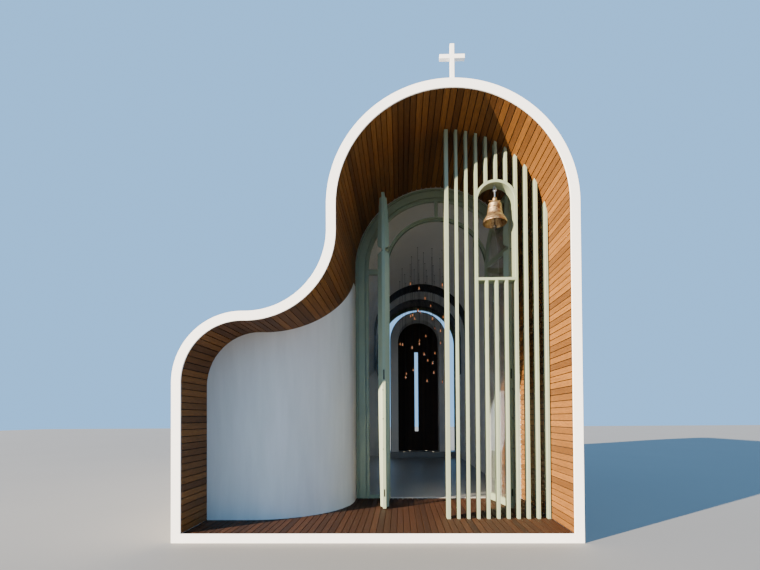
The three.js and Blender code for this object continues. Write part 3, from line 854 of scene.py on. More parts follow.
# How far the shell and the face of the rims and linings reach in from the outline
SHELL = 0.100
RIM = 0.125


@dataclass
class Shell:
    """The rendered shell with its flat white rims."""

    rim_bar: float = 0.120
    edge: float = 0.003
    drain_xs: tuple[float, ...] = (-1.35, -0.68)
    drain_z: float = 0.058
    drain_radius: float = 0.009
    drain_sides: int = 16

    def build(self) -> None:
        """Makes the shell and dresses both ends."""
        low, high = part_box("main_vault")
        shape = Shape()
        shape.sweep(lambda inset: OUTLINE.points(inset, 0.0), layer(0.0, SHELL, low.y, high.y))
        shape.build("shell_render", WHITE_RENDER, replaces=(
            "left_wall", "shoulder_roof", "hollow_roof", "neck_wall", "main_vault", "right_wall",
        ))
        front, front_back = (corner.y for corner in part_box("front_fascia"))
        rear_front, rear = (corner.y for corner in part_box("rear_fascia"))
        self.rim("front_rim", "front_fascia", front, front_back)
        self.rim("rear_rim", "rear_fascia", rear, rear_front)
        self.drains(front)

    def rim(self, name: str, node: str, face: float, back: float) -> None:
        """A flat rim round one end, with the bar under the deck.

        Args:
            name: name of the piece.
            node: the node that it stands for.
            face: its outer face on Y.
            back: its back on Y.
        """
        def loop(inset: float) -> list[Point]:
            """The closed outline of the rim, moved inwards."""
            return OUTLINE.points(inset, inset * self.rim_bar / RIM)
        eased = face + math.copysign(self.edge, back - face)
        shape = Shape()
        shape.sweep(loop, (
            (0.0, back), (0.0, eased), (self.edge, face),
            (RIM - self.edge, face), (RIM, eased), (RIM, back),
        ), closed=True)
        shape.build(name, WHITE_COAT, replaces=(node,))

    def drains(self, face: float) -> None:
        """Black dots in the bar under the deck, flush with its face: painted shade that stands for small
        weep holes.

        Args:
            face: the rim's face on Y.
        """
        half = self.drain_radius / 2
        shape = Shape()
        for x in self.drain_xs:
            centre = Vector((x, face + half, self.drain_z))
            shape.ring(centre, half, half, Vector((0, 1, 0)), self.drain_sides)
        # The black dots flush with the rim are painted shade in place of holes
        shape.build("rim_weep_holes", BLACK_FELT_AND_PAINTED_SHADE)


@dataclass
class Boarding:
    """Boards that line one porch, laid from front to back on felt."""

    name: str
    node: str
    floor: float
    pitch: float = 0.0895
    joint: float = 0.010
    thickness: float = 0.020
    edge: float = 0.0015
    unevenness: float = 0.8 * MM
    felt: float = 0.003
    seed: int = 7

    def build(self) -> None:
        """Makes the boards and the felt behind them."""
        low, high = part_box(self.node)
        lifts = random.Random(self.seed)
        boards = Shape()
        spots = [Vector(p) for p in OUTLINE.spaced(RIM, self.floor, self.pitch)]
        for first, second in zip(spots, spots[1:]):
            along = (second - first).normalized()
            out = Vector((-along.y, along.x))
            lift = out * lifts.uniform(0.0, self.unevenness)
            start = first + along * self.joint / 2 + lift
            end = second - along * self.joint / 2 + lift
            boards.bar((
                start + along * self.edge, end - along * self.edge,
                end + out * self.edge, end + out * self.thickness,
                start + out * self.thickness, start + out * self.edge,
            ), low.y, high.y)
        boards.build(f"{self.name}_boards", LINING_BOARDS, replaces=(self.node,))
        # The felt is real, and its black in the open joints also stands in for their shade
        felt = Shape()
        felt.sweep(
            lambda inset: OUTLINE.points(inset, self.floor),
            layer(SHELL + GAP, SHELL + self.felt, low.y, high.y),
        )
        felt.build(f"{self.name}_felt", BLACK_FELT_AND_PAINTED_SHADE)


@dataclass
class Decking:
    """Deck boards laid from front to back on a dark underlay."""

    name: str
    node: str
    # Gives the place on Y where the deck ends, for a place on X
    end: Callable[[float], float]
    breaks: tuple[float, ...] = ()
    pitch: float = 0.0895
    joint: float = 0.008
    thickness: float = 0.022
    underlay: float = 3 * MM
    edge: float = 0.002
    samples: int = 6

    def build(self) -> None:
        """Cuts each board to the wall or the screen behind it."""
        low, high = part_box(self.node)
        width = high.x - low.x
        count = round(width / self.pitch)
        step = width / count
        boards = Shape()
        for i in range(count):
            x0 = low.x + i * step + self.joint / 2
            x1 = low.x + (i + 1) * step - self.joint / 2
            boards.skin([
                self.plan(x0, x1, low.y, high.z - self.thickness),
                self.plan(x0, x1, low.y, high.z - self.edge),
                self.plan(x0 + self.edge, x1 - self.edge, low.y, high.z),
            ])
        # The deck boards' darkened colours are painted shade
        boards.build(f"{self.name}_deck_boards", DECK_BOARDS_PAINTED_SHADE, replaces=(self.node,))
        # The underlay is real, and its black in the joints also stands in for their shade
        underlay = Shape()
        underlay.skin([self.plan(low.x, high.x, low.y, z) for z in (low.z, low.z + self.underlay)])
        underlay.build(f"{self.name}_deck_underlay", BLACK_FELT_AND_PAINTED_SHADE)

    def plan(self, x0: float, x1: float, front: float, z: float) -> list[Vector]:
        """Outline of the deck between two places on X.

        Args:
            x0: left edge.
            x1: right edge.
            front: front edge on Y.
            z: height.

        Returns:
            The front edge from left to right, and the back edge from right to left.
        """
        places = [x1 + (x0 - x1) * k / self.samples for k in range(self.samples + 1)]
        for cut in self.breaks:
            if x0 < cut < x1:
                nearest = min(range(1, self.samples), key=lambda k: abs(places[k] - cut))
                places[nearest] = cut + GAP
                places[nearest + 1] = cut - GAP
        back = (Vector((x, self.end(x), z)) for x in places)
        return [Vector((x0, front, z)), Vector((x1, front, z)), *back]


@dataclass
class AisleWall:
    """White wall under the low roof, straight on the left and turning in towards the doors."""

    radius: float = 1.385
    thickness: float = 0.100
    steps: int = 48

    @property
    def right(self) -> float:
        """Face of the wall beside the screen."""
        return OUTLINE.neck_x + RIM - GAP

    @property
    def centre(self) -> Vector:
        """Centre of the curve in plan."""
        return Vector((self.right - self.radius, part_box("curved_front_wall")[0].y + self.radius))

    def face(self, x: float) -> float:
        """Where the deck ends: at the wall's face, or at the screen right of it.

        Args:
            x: the place on X.

        Returns:
            The place on Y.
        """
        if x >= self.right:
            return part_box("screen_frame")[0].y - GAP
        offset = max(x - self.centre.x, 0.0)
        return self.centre.y - math.sqrt(max(self.radius ** 2 - offset ** 2, 0.0))

    def plan(self, radius: float, back: float) -> list[Point]:
        """One face of the wall in plan.

        Args:
            radius: radius of its curve.
            back: where it ends on Y, beside the screen.

        Returns:
            Points (x, y) from left to right, closer together where the roof above curves.
        """
        left = -OUTLINE.half_width + RIM + GAP
        reach = OUTLINE.shoulder_x - left
        stop = math.acos((OUTLINE.shoulder_x - self.centre.x) / reach)
        straight = [
            (OUTLINE.shoulder_x - reach * math.cos(stop * i / self.steps), self.centre.y - radius)
            for i in range(self.steps)
        ]
        curve = arc(self.centre.x, self.centre.y, radius, -math.pi / 2, 0.0, self.steps)
        return [*straight, *curve, (self.centre.x + radius, back)]

    def build(self) -> None:
        """Makes the curved wall and dresses the plain wall at the rear."""
        low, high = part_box("curved_front_wall")
        outer = self.plan(self.radius, high.y)
        inner = self.plan(self.radius - self.thickness, high.y)
        shape = Shape()
        shape.skin([
            [
                Vector((ox, oy, low.z)), Vector((ox, oy, OUTLINE.low_soffit(ox, RIM))),
                Vector((ix, iy, OUTLINE.low_soffit(ix, RIM))), Vector((ix, iy, low.z)),
            ]
            for (ox, oy), (ix, iy) in zip(outer, inner)
        ])
        shape.build("curved_wall_render", WALL_RENDER, replaces=("curved_front_wall",))
        dress_nodes(WALL_RENDER, "rear_aisle_wall")


@dataclass
class ArchedScreen:
    """What the two arched screens share: the size of their bars and of the bead that holds the panes."""

    radius: float = OUTLINE.arch_radius - RIM - GAP
    mullion: float = 0.062
    rail_top: float = 0.180
    bead: float = 0.004
    bead_near: float = 0.020
    bead_far: float = 0.060
    # How far the crown bar runs into what it joins
    lap: float = 2 * MM

    def crown_bar(self, shape: Shape, foot: float, inner: float, near: float, far: float) -> None:
        """Adds the upright bar at the crown.

        Args:
            shape: the frame that it joins.
            foot: its lower end.
            inner: inner radius of the outer frame, which it runs into.
            near: its front on Y.
            far: its back on Y.
        """
        half = self.mullion / 2
        head = OUTLINE.spring + inner + self.lap
        shape.block((OUTLINE.arch_x - half, near, foot), (OUTLINE.arch_x + half, far, head))

    def side_bars(
        self, shape: Shape, reaches: Point, near: float, far: float, spans: Sequence[Point],
    ) -> None:
        """Adds level bars on both sides of the middle.

        Args:
            shape: the frame that they join.
            reaches: how far from the middle they start and end.
            near: their front on Y.
            far: their back on Y.
            spans: lower and upper edge of each bar.
        """
        for side in Side:
            left, right = sorted(OUTLINE.arch_x + side.value * reach for reach in reaches)
            for low, high in spans:
                shape.block((left, near, low), (right, far, high))


@dataclass
class GlazedScreen(ArchedScreen):
    """Screen in the porch: stepped outer frame, ring round the doors, bars, panes and threshold."""

    ring_outer: float = 0.960
    ring_inner: float = 0.940
    stop_inner: float = 0.900
    stop_edge: float = 2 * MM
    face: float = 0.245
    bar_setback: float = 0.004
    transom: float = 0.090
    ribs: int = 8
    rib_drop: float = 2 * MM
    # Where a rib is flat, as parts of its width
    rib_flat: Point = (0.2, 0.8)
    # Distance from the outer edge and depth behind the face, in millimetres
    mouldings_mm: tuple[Point, ...] = (
        (0, 40), (14, 40), (14, 2), (16, 0), (40, 0), (42, 2), (42, 30), (54, 30), (54, 6), (56, 4),
        (176, 4), (178, 6), (178, 38), (194, 38), (194, 8), (196, 6), (236, 6), (238, 8), (238, 34),
        (245, 34), (245, 58), (241, 58), (241, 80), (0, 80),
    )
    # Distance from the stop's inner edge and depth behind its face, in millimetres
    seal_mm: tuple[Point, ...] = ((6, -3), (16, -3), (18, 0), (4, 0))

    def build(self) -> None:
        """Makes the frame, the ring with its bars and hinges, and dresses panes and threshold."""
        low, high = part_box("screen_frame")
        shape = Shape()
        shape.sweep(lambda inset: OUTLINE.stilted(self.radius - inset, low.z), [
            (inset, low.y + depth) for inset, depth in metres(self.mouldings_mm)
        ])
        shape.build("screen_outer_frame", SAGE_COAT, replaces=("screen_frame",))
        proud = self.ring_outer + self.bead
        ring = Shape()
        ring.sweep(lambda offset: OUTLINE.stilted(offset, low.z), (
            (proud, low.y + self.bead_near), (proud, low.y + self.bead_far),
            (self.ring_outer, low.y + self.bead_far), (self.ring_outer, high.y), (self.ring_inner, high.y),
            (self.ring_inner, low.y), (self.ring_outer, low.y), (self.ring_outer, low.y + self.bead_near),
        ))
        inner = self.radius - self.face
        front = low.y + self.bar_setback
        self.side_bars(ring, (self.ring_outer - LAP, inner + LAP), front, high.y, (
            (OUTLINE.spring - self.transom, OUTLINE.spring), (low.z, self.rail_top),
        ))
        self.crown_bar(ring, OUTLINE.spring + self.ring_outer - self.lap, inner, front, high.y)
        for side in Side:
            for z in Hinge.heights:
                Hinge(side).on_ring(ring, low.y, z)
        ring.build("door_ring", SAGE_COAT, replaces=("door_frame",))
        self.rebate()
        dress_nodes(CLEAR_GLASS, "left_sidelight", "right_sidelight", "left_fanlight", "right_fanlight")
        self.threshold()

    def rebate(self) -> None:
        """The stop inside the ring that the shut leaves rest against, with a black seal on its front."""
        low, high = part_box("door_stop")
        reach = self.ring_inner - GAP
        e = self.stop_edge
        stop = Shape()
        stop.sweep(lambda offset: OUTLINE.stilted(offset, low.z), (
            (self.stop_inner, low.y + e), (self.stop_inner + e, low.y), (reach, low.y), (reach, high.y),
            (self.stop_inner + e, high.y), (self.stop_inner, high.y - e),
        ))
        stop.build("door_rebate", SAGE_COAT, replaces=("door_stop",))
        seal = Shape()
        seal.sweep(lambda offset: OUTLINE.stilted(offset, low.z), [
            (self.stop_inner + offset, low.y + depth) for offset, depth in metres(self.seal_mm)
        ])
        seal.build("door_rebate_seal", BLACK_FELT_AND_PAINTED_SHADE)

    def threshold(self) -> None:
        """Ribbed aluminium threshold between the jambs."""
        low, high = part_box("threshold")
        step = (high.y - low.y) / self.ribs
        groove = high.z - self.rib_drop
        start, stop = self.rib_flat
        section = [Vector((0, low.y, low.z))]
        for i in range(self.ribs):
            y = low.y + i * step
            section += [
                Vector((0, y, groove)), Vector((0, y + start * step, high.z)),
                Vector((0, y + stop * step, high.z)), Vector((0, y + step, groove)),
            ]
        section.append(Vector((0, high.y, low.z)))
        shape = Shape()
        shape.skin([[Vector((x, p.y, p.z)) for p in section] for x in (low.x, high.x)])
        shape.build("door_threshold", SATIN_ALUMINIUM, replaces=("threshold",))


@dataclass
class Hinge:
    """Pin hinge of a leaf: one knuckle on the ring and one above it on the leaf."""

    side: Side
    radius: float = 0.010
    knuckle: float = 0.060
    ease: float = 0.0015
    sides: int = 24
    leaf_flap: float = 0.050
    ring_flap: float = 0.020
    flap_thickness: float = 0.006
    flap_edge: float = 1 * MM
    inset: float = 0.0025
    heights: tuple[float, ...] = (0.4, 2.2, 4.1)

    def barrel(self) -> list[Point]:
        """Profile of a knuckle with eased ends."""
        return [
            (self.radius - self.ease, 0.0), (self.radius, self.ease),
            (self.radius, self.knuckle - self.ease), (self.radius - self.ease, self.knuckle),
        ]

    def on_ring(self, shape: Shape, face: float, z: float) -> None:
        """Adds the ring's knuckle and flap.

        Args:
            shape: the ring.
            face: the ring's front on Y.
            z: foot of the knuckle.
        """
        axis = OUTLINE.arch_x + self.side.value * (DoorLeaf.radius + self.inset)
        left, right = sorted((axis, axis + self.side.value * self.ring_flap))
        shape.turned(self.barrel(), Vector((axis, face - self.radius, z)), self.sides)
        shape.block(
            (left, face - self.flap_thickness, z), (right, face + LAP, z + self.knuckle), self.flap_edge,
        )

    def on_leaf(self, shape: Shape, z: float) -> None:
        """Adds the leaf's knuckle and flap, in the leaf's own coordinates.

        Args:
            shape: the leaf.
            z: foot of the knuckle.
        """
        shape.turned(self.barrel(), Vector((-self.inset, 0, z)), self.sides)
        shape.block(
            (-self.inset, self.radius - self.flap_thickness, z),
            (self.leaf_flap - self.inset, self.radius + LAP, z + self.knuckle), self.flap_edge,
        )


@dataclass
class DoorLeaf:
    """One door leaf: arched frame, middle bar, long grips on both faces, hinges and lock plates."""

    side: Side
    open_deg: float
    radius: float = 0.935
    bottom: float = 0.130
    thickness: float = 0.053
    stile: float = 0.070
    kick_rail: float = 0.110
    meeting: float = 0.931
    transom: float = 0.090
    bead_width: float = 6 * MM
    bead_depth: float = 0.012
    grip_width: float = 0.045
    grip_reach: float = 0.070
    grip_bevel: float = 0.045
    grip_margin: float = 0.020
    grip_edge: float = 0.008
    grip_slant: float = 0.040
    grip_steps: int = 16
    # The lower grip starts at this part of its reach and has all of it after so many steps
    grip_foot: float = 0.6
    grip_full: int = 9
    # The upper grip ends at this part of its reach
    grip_head: float = 0.45
    edge: float = 0.002
    steps: int = 48
    # Height and length of each lock plate
    locks: tuple[Point, ...] = ((2.30, 0.160), (0.38, 0.120))
    lock_half: float = 0.011
    lock_proud: float = 1.5 * MM
    lock_edge: float = 0.5 * MM
    bolt_heights: tuple[float, ...] = (1.09, 1.58, 2.05, OUTLINE.spring - 0.02)
    bolt_mm: tuple[Point, ...] = ((10, -1), (10, 1), (8, 1.6))
    bolt_offset: float = 0.018
    bolt_sides: int = 12

    @property
    def name(self) -> str:
        """Start of the piece names."""
        return f"{self.side.name.lower()}_door"

    @property
    def body(self) -> Body:
        """The body that the leaf is."""
        return Body(self.name)

    def place(self) -> Matrix:
        """Places the leaf at rest, where it stands open.

        Returns:
            What turns the leaf's own coordinates, seen shut from its hinge edge, into the frame.
        """
        joint = next(j for j in frame["joints"] if j["child"] == self.name)
        x, y, _ = joint["pos_m"]
        turn = Matrix.Rotation(math.radians(self.side.value * self.open_deg), 4, "Z")
        hand = Matrix.Diagonal((-self.side.value, 1, 1, 1))
        hinge_edge = Matrix.Translation((Hinge(self.side).inset, 0, 0))
        return Matrix.Translation((x, y, 0)) @ turn @ hand @ hinge_edge

    def loop(self, inset: float) -> list[Point]:
        """Closed outline of the leaf, moved inwards.

        Args:
            inset: how far it is moved.

        Returns:
            Points (x, z) from the hinge edge's foot round to its spring line.
        """
        radius = self.radius - inset
        top = self.meeting - inset
        floor = self.bottom + inset * self.kick_rail / self.stile
        start = math.acos((top - self.radius) / radius)
        return [
            (inset, floor), (top, floor),
            *arc(self.radius, OUTLINE.spring, radius, start, math.pi, self.steps),
        ]

    def build(self) -> None:
        """Makes the leaf and dresses its panes."""
        hinge = Hinge(self.side)
        front = hinge.radius
        back = front + self.thickness
        e = self.edge
        stile, bead, deep = self.stile, self.stile + self.bead_width, self.bead_depth
        shape = Shape()
        shape.sweep(self.loop, (
            (0.0, front + e), (e, front), (stile - e, front), (stile, front + e),
            (stile, front + deep), (bead, front + deep), (bead, back - deep), (stile, back - deep),
            (stile, back - e), (stile - e, back), (e, back), (0.0, back - e),
        ), closed=True)
        shape.block(
            (stile - LAP, front + e, OUTLINE.spring - self.transom / 2),
            (self.meeting - stile + LAP, back - e, OUTLINE.spring + self.transom / 2),
        )
        crown = OUTLINE.spring + self.radius - stile
        margin, bevel, quarter = self.grip_margin, self.grip_bevel, math.pi / 2
        for bow in (
            self.bow(
                self.bottom + margin, OUTLINE.spring - margin, (bevel / 4, bevel), self.grip_foot,
                lambda part: math.sin(quarter * min(part * self.grip_steps / self.grip_full, 1.0)),
            ),
            self.bow(
                OUTLINE.spring + margin, crown, (bevel, bevel / 4), self.grip_head,
                lambda part: math.cos(quarter * part),
            ),
        ):
            self.grip(shape, bow, front, -1)
            self.grip(shape, bow, back, 1)
        for z in hinge.heights:
            hinge.on_leaf(shape, z + hinge.knuckle + GAP)
        shape.build(f"{self.name}_frame", SAGE_COAT, self.body, (f"{self.name}_leaf",), self.place())
        self.hardware()
        dress_nodes(CLEAR_GLASS, f"{self.name}_lower_glass", f"{self.name}_upper_glass")

    def bow(
        self, low: float, high: float, bevels: Point, least: float, curve: Callable[[float], float],
    ) -> list[Point]:
        """Heights along a grip, and how far it stands off at each.

        Args:
            low: its lower end.
            high: its upper end.
            bevels: the heights that its two ends take to stand off.
            least: the part of the full reach at its narrow end.
            curve: how it widens from there, from 0 to 1, for a part of its height.

        Returns:
            Pairs of a height and the part of the full reach.
        """
        start, stop = low + bevels[0], high - bevels[1]
        parts = [i / self.grip_steps for i in range(self.grip_steps + 1)]
        face = [(start + part * (stop - start), least + (1 - least) * curve(part)) for part in parts]
        return [(low, 0.0), *face, (high, 0.0)]

    def grip(self, shape: Shape, bow: Sequence[Point], base: float, sign: int) -> None:
        """A long bowed grip folded from sheet.

        Args:
            shape: the leaf that it joins.
            bow: heights along the grip and the part of the reach at each.
            base: the leaf's face on the leaf's own Y.
            sign: -1 at the front, 1 at the back.
        """
        right = self.meeting - self.grip_edge
        left = right - self.grip_width
        e = self.edge

        def section(ease: float, x: float, slant: float = 0.0) -> list[Vector]:
            """The grip's outline, seen from its side.

            Args:
                ease: how far it is set back.
                x: where it lies on X.
                slant: how far it leans back in X where it stands off in full.

            Returns:
                Points from its foot to its head.
            """
            face = [
                Vector((x - slant * part, base + sign * max(self.grip_reach * part - ease, -LAP), z))
                for z, part in bow
            ]
            low, high = bow[0][0], bow[-1][0]
            root = base - sign * LAP
            return [Vector((x, root, low)), *face, Vector((x, root, high))]
        shape.skin([
            section(e, left), section(0.0, left + e),
            section(0.0, right - e, self.grip_slant), section(e, right, self.grip_slant),
        ])

    def hardware(self) -> None:
        """Lock face plates and bolt heads on the meeting edge."""
        middle = Hinge(self.side).radius + self.thickness / 2
        plates = Shape()
        for z, height in self.locks:
            plates.block(
                (self.meeting - LAP, middle - self.lock_half, z - height / 2),
                (self.meeting + self.lock_proud, middle + self.lock_half, z + height / 2),
                self.lock_edge,
            )
        plates.build(f"{self.name}_lock_plates", FORGED_IRON, self.body, place=self.place())
        bolts = Shape()
        for z in self.bolt_heights:
            head = Vector((self.meeting, middle - self.bolt_offset, z))
            bolts.turned(metres(self.bolt_mm), head, self.bolt_sides, along_x=True)
        bolts.build(f"{self.name}_bolts", BLACK_FELT_AND_PAINTED_SHADE, self.body, place=self.place())


@dataclass
class BellNiche:
    """Arched box in the row of fins that holds the bell."""

    x: float = 1.7515
    half: float = 0.312
    frame: float = 0.042
    sill: float = 3.606
    spring: float = 4.785
    edge: float = 0.003
    steps: int = 32

    def loop(self, inset: float) -> list[Point]:
        """Closed outline of the niche.

        Args:
            inset: how far it is moved inwards.

        Returns:
            Points (x, z) from the left foot.
        """
        half = self.half - inset
        return [
            (self.x - half, self.sill + inset), (self.x + half, self.sill + inset),
            *arc(self.x, self.spring, half, 0.0, math.pi, self.steps),
        ]

    def crown(self, x: float) -> float:
        """Height just clear of the frame's top at a place on X."""
        return self.spring + math.sqrt(max((self.half + GAP) ** 2 - (x - self.x) ** 2, 0.0))

    def build(self) -> None:
        """Makes the frame."""
        low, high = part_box("bell_niche_frame")
        e, inner = self.edge, self.frame
        shape = Shape()
        shape.sweep(self.loop, (
            (0.0, low.y + e), (e, low.y), (inner - e, low.y), (inner, low.y + e),
            (inner, high.y - e), (inner - e, high.y), (e, high.y), (0.0, high.y - e),
        ), closed=True)
        shape.build("bell_niche", SAGE_COAT, replaces=("bell_niche_frame",))


@dataclass
class FinRow:
    """Eleven upright box sections from the deck to the soffit, interrupted by the bell niche."""

    niche: BellNiche = field(default_factory=BellNiche)
    edge: float = 0.003
    steps: int = 8

    def face(self, name: str, inset: float) -> list[Point]:
        """Closed outline of one fin, seen from the front.

        Args:
            name: the fin's node.
            inset: how far its sides are moved inwards.

        Returns:
            Points (x, z) along its foot and back along its head.
        """
        low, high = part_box(name)
        left, right = low.x + inset, high.x - inset
        spots = [left + (right - left) * i / self.steps for i in range(self.steps + 1)]
        over, under = name.endswith("_upper"), name.endswith("_lower")
        foot = [(x, self.niche.crown(x) if over else low.z) for x in spots]
        head = [(x, high.z if under else OUTLINE.soffit(x, RIM)) for x in spots]
        return foot + head[::-1]

    def build(self) -> None:
        """Makes each fin to the height of its solid."""
        for name in sorted(name for name in frame["nodes"] if name.startswith("fin_")):
            low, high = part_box(name)
            shape = Shape()
            shape.slab(lambda inset: self.face(name, inset), low.y, high.y, self.edge)
            shape.build(name.replace("fin_", "fin_bar_"), SAGE_COAT, replaces=(name,))


@dataclass
class Bell:
    """Cast bell on a shackle, with a crossbar and a clapper."""

    mouth: float = 4.485
    pin: float = 4.975
    clapper_pin: float = 4.755
    sides: int = 64
    crossbar_sides: int = 20
    pin_sides: int = 16
    clapper_sides: int = 24
    crease_deg: float = 40.0
    # Radius and height above the mouth, in millimetres
    outside_mm: tuple[Point, ...] = (
        (176, 0), (180, 5), (179, 16), (176, 27), (166, 44), (162, 52), (164, 56), (160, 61), (149, 77),
        (138, 93), (126, 111), (118, 130), (114, 150), (110, 175), (107, 196), (105, 204), (107, 209),
        (104, 215), (102, 238), (99, 262), (98, 268), (100, 272), (97, 278), (95, 288), (88, 297),
        (77, 304), (60, 309), (44, 315), (37, 326), (35, 350), (34, 372), (30, 378), (14, 380),
    )
    inside_mm: tuple[Point, ...] = (
        (4, 380), (4, 295), (40, 294), (60, 292), (80, 286), (87, 278), (92, 239), (99, 177), (107, 128),
        (130, 88), (152, 50), (166, 0),
    )
    # Radius and distance from the middle of the crossbar and of the clapper's pin
    crossbar_z: float = 0.339
    crossbar_mm: tuple[Point, ...] = (
        (3, -89), (7, -87), (9, -81), (7, -75), (6, -71), (6, -44), (7, -38),
        (7, 38), (6, 44), (6, 71), (7, 75), (9, 81), (7, 87), (3, 89),
    )
    clapper_pin_mm: tuple[Point, ...] = ((5, -96), (5, 96))
    # Shank between the bell and the eye that the shackle's pin passes through
    shank_z: float = 0.376
    shank_halves: Point = (0.008, 0.012)
    shank_edge: float = 2 * MM
    collar_z: float = 0.379
    collar_mm: tuple[Point, ...] = ((20, 0), (20, 4), (14, 7))
    eye_radius: float = 0.0135
    eye_wire: float = 0.0045
    eye_drop: float = 0.0105
    # Clapper, measured up from its foot, with its own small eye
    clapper_drop: float = 0.372
    clapper_mm: tuple[Point, ...] = (
        (3, 0), (7, 2), (8, 22), (12, 27), (20, 33), (24, 42), (25, 50), (24, 58), (19, 68), (11, 75),
        (7, 82), (6, 120), (6, 358), (2, 360),
    )
    clapper_eye: Point = (0.0095, 0.0035)

    @property
    def axis(self) -> Vector:
        """Middle of the bell's mouth."""
        low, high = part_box("bell")
        return Vector(((low.x + high.x) / 2, (low.y + high.y) / 2, self.mouth))

    def level(self, z: float) -> Vector:
        """The bell's axis at a height."""
        return Vector((self.axis.x, self.axis.y, z))

    def build(self) -> None:
        """Makes the bell, what it hangs from and its clapper."""
        axis = self.axis
        up = Vector((0, 0, 1))
        sideways = Vector((1, 0, 0))
        bell = Shape()
        bell.turned(metres((*self.outside_mm, *self.inside_mm)), axis, self.sides, closed=True)
        bell.turned(
            metres(self.crossbar_mm), axis + self.crossbar_z * up, self.crossbar_sides, along_x=True,
        )
        pin = self.level(self.clapper_pin)
        bell.turned(metres(self.clapper_pin_mm), pin, self.pin_sides, along_x=True)
        bell.build("bell_casting", BRONZE, Body.BELL, ("bell",), crease_deg=self.crease_deg)
        shank = Shape()
        shank.ring(self.level(self.pin), self.eye_radius, self.eye_wire, sideways)
        foot, head = self.mouth + self.shank_z, self.pin - self.eye_drop
        shank.post((axis.x, axis.y), self.shank_halves, foot, head, self.shank_edge)
        shank.turned(metres(self.collar_mm), axis + self.collar_z * up, self.clapper_sides)
        shank.build("bell_shank", STEEL, Body.BELL, crease_deg=self.crease_deg)
        Shackle(self.level(self.pin)).build()
        clapper = Shape()
        lowest = self.level(self.clapper_pin - self.clapper_drop)
        clapper.turned(metres(self.clapper_mm), lowest, self.clapper_sides)
        clapper.ring(pin, *self.clapper_eye, sideways)
        clapper.build(
            "clapper_rod", FORGED_IRON, Body.CLAPPER, ("bell_clapper",), crease_deg=self.crease_deg,
        )


@dataclass
class Shackle:
    """Steel shackle with its pin, hung from an eye in the crown of the niche."""

    # Middle of the pin; heights below are measured from it
    centre: Vector
    cheek_x: float = 0.019
    cheek_halves: Point = (0.003, 0.012)
    cheek_span: Point = (-0.014, 0.040)
    bridge_span: Point = (0.034, 0.044)
    edge: float = 1.5 * MM
    sides: int = 20
    crease_deg: float = 40.0
    # Radius and distance from the middle of the pin, with its heads
    pin_mm: tuple[Point, ...] = (
        (4, -27), (10, -26), (10, -22), (7.5, -22), (7.5, 22), (10, 22), (10, 26), (4, 27),
    )
    eye_z: float = 0.055
    eye: Point = (0.012, 0.0035)
    # Radius and height of the rose under the crown of the niche
    rose_height: float = 0.0175
    rose_mm: tuple[Point, ...] = ((6, 0), (6, 14), (16, 14), (16, 17.5))

    def build(self) -> None:
        """Makes the cheeks, the bridge over them, the pin, the eye and the rose."""
        x, y, z = self.centre
        half_x, half_y = self.cheek_halves
        shape = Shape()
        for side in Side:
            low, high = (z + height for height in self.cheek_span)
            shape.post((x + side.value * self.cheek_x, y), self.cheek_halves, low, high, self.edge)
        low, high = (z + height for height in self.bridge_span)
        shape.post((x, y), (self.cheek_x + half_x, half_y), low, high, self.edge)
        shape.turned(metres(self.pin_mm), self.centre, self.sides, along_x=True)
        shape.ring(Vector((x, y, z + self.eye_z)), *self.eye, Vector((0, 1, 0)))
        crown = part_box("bell_fork")[1].z
        shape.turned(metres(self.rose_mm), Vector((x, y, crown - self.rose_height)), self.sides)
        shape.build("bell_shackle", STEEL, replaces=("bell_fork",), crease_deg=self.crease_deg)


@dataclass
class RoofCross:
    """Flat white cross on the crown of the shell."""

    bar: float = 0.056
    arm_drop: float = 0.140
    edge: float = 0.002

    def build(self) -> None:
        """Makes the cross inside the box of its solid."""
        low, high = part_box("roof_cross")
        middle = (low.x + high.x) / 2
        half, span = self.bar / 2, (high.x - low.x) / 2
        arm_top = high.z - self.arm_drop

        def loop(inset: float) -> list[Point]:
            """Closed outline of the cross.

            Args:
                inset: how far it is moved inwards.

            Returns:
                Points (x, z) from the right of its foot.
            """
            right = (
                (half - inset, low.z), (half - inset, arm_top - self.bar + inset),
                (span - inset, arm_top - self.bar + inset), (span - inset, arm_top - inset),
                (half - inset, arm_top - inset), (half - inset, high.z - inset),
            )
            return [(middle + x, z) for x, z in right] + [(middle - x, z) for x, z in reversed(right)]
        shape = Shape()
        shape.slab(loop, low.y, high.y, self.edge)
        shape.build("cross", WHITE_COAT, replaces=("roof_cross",))


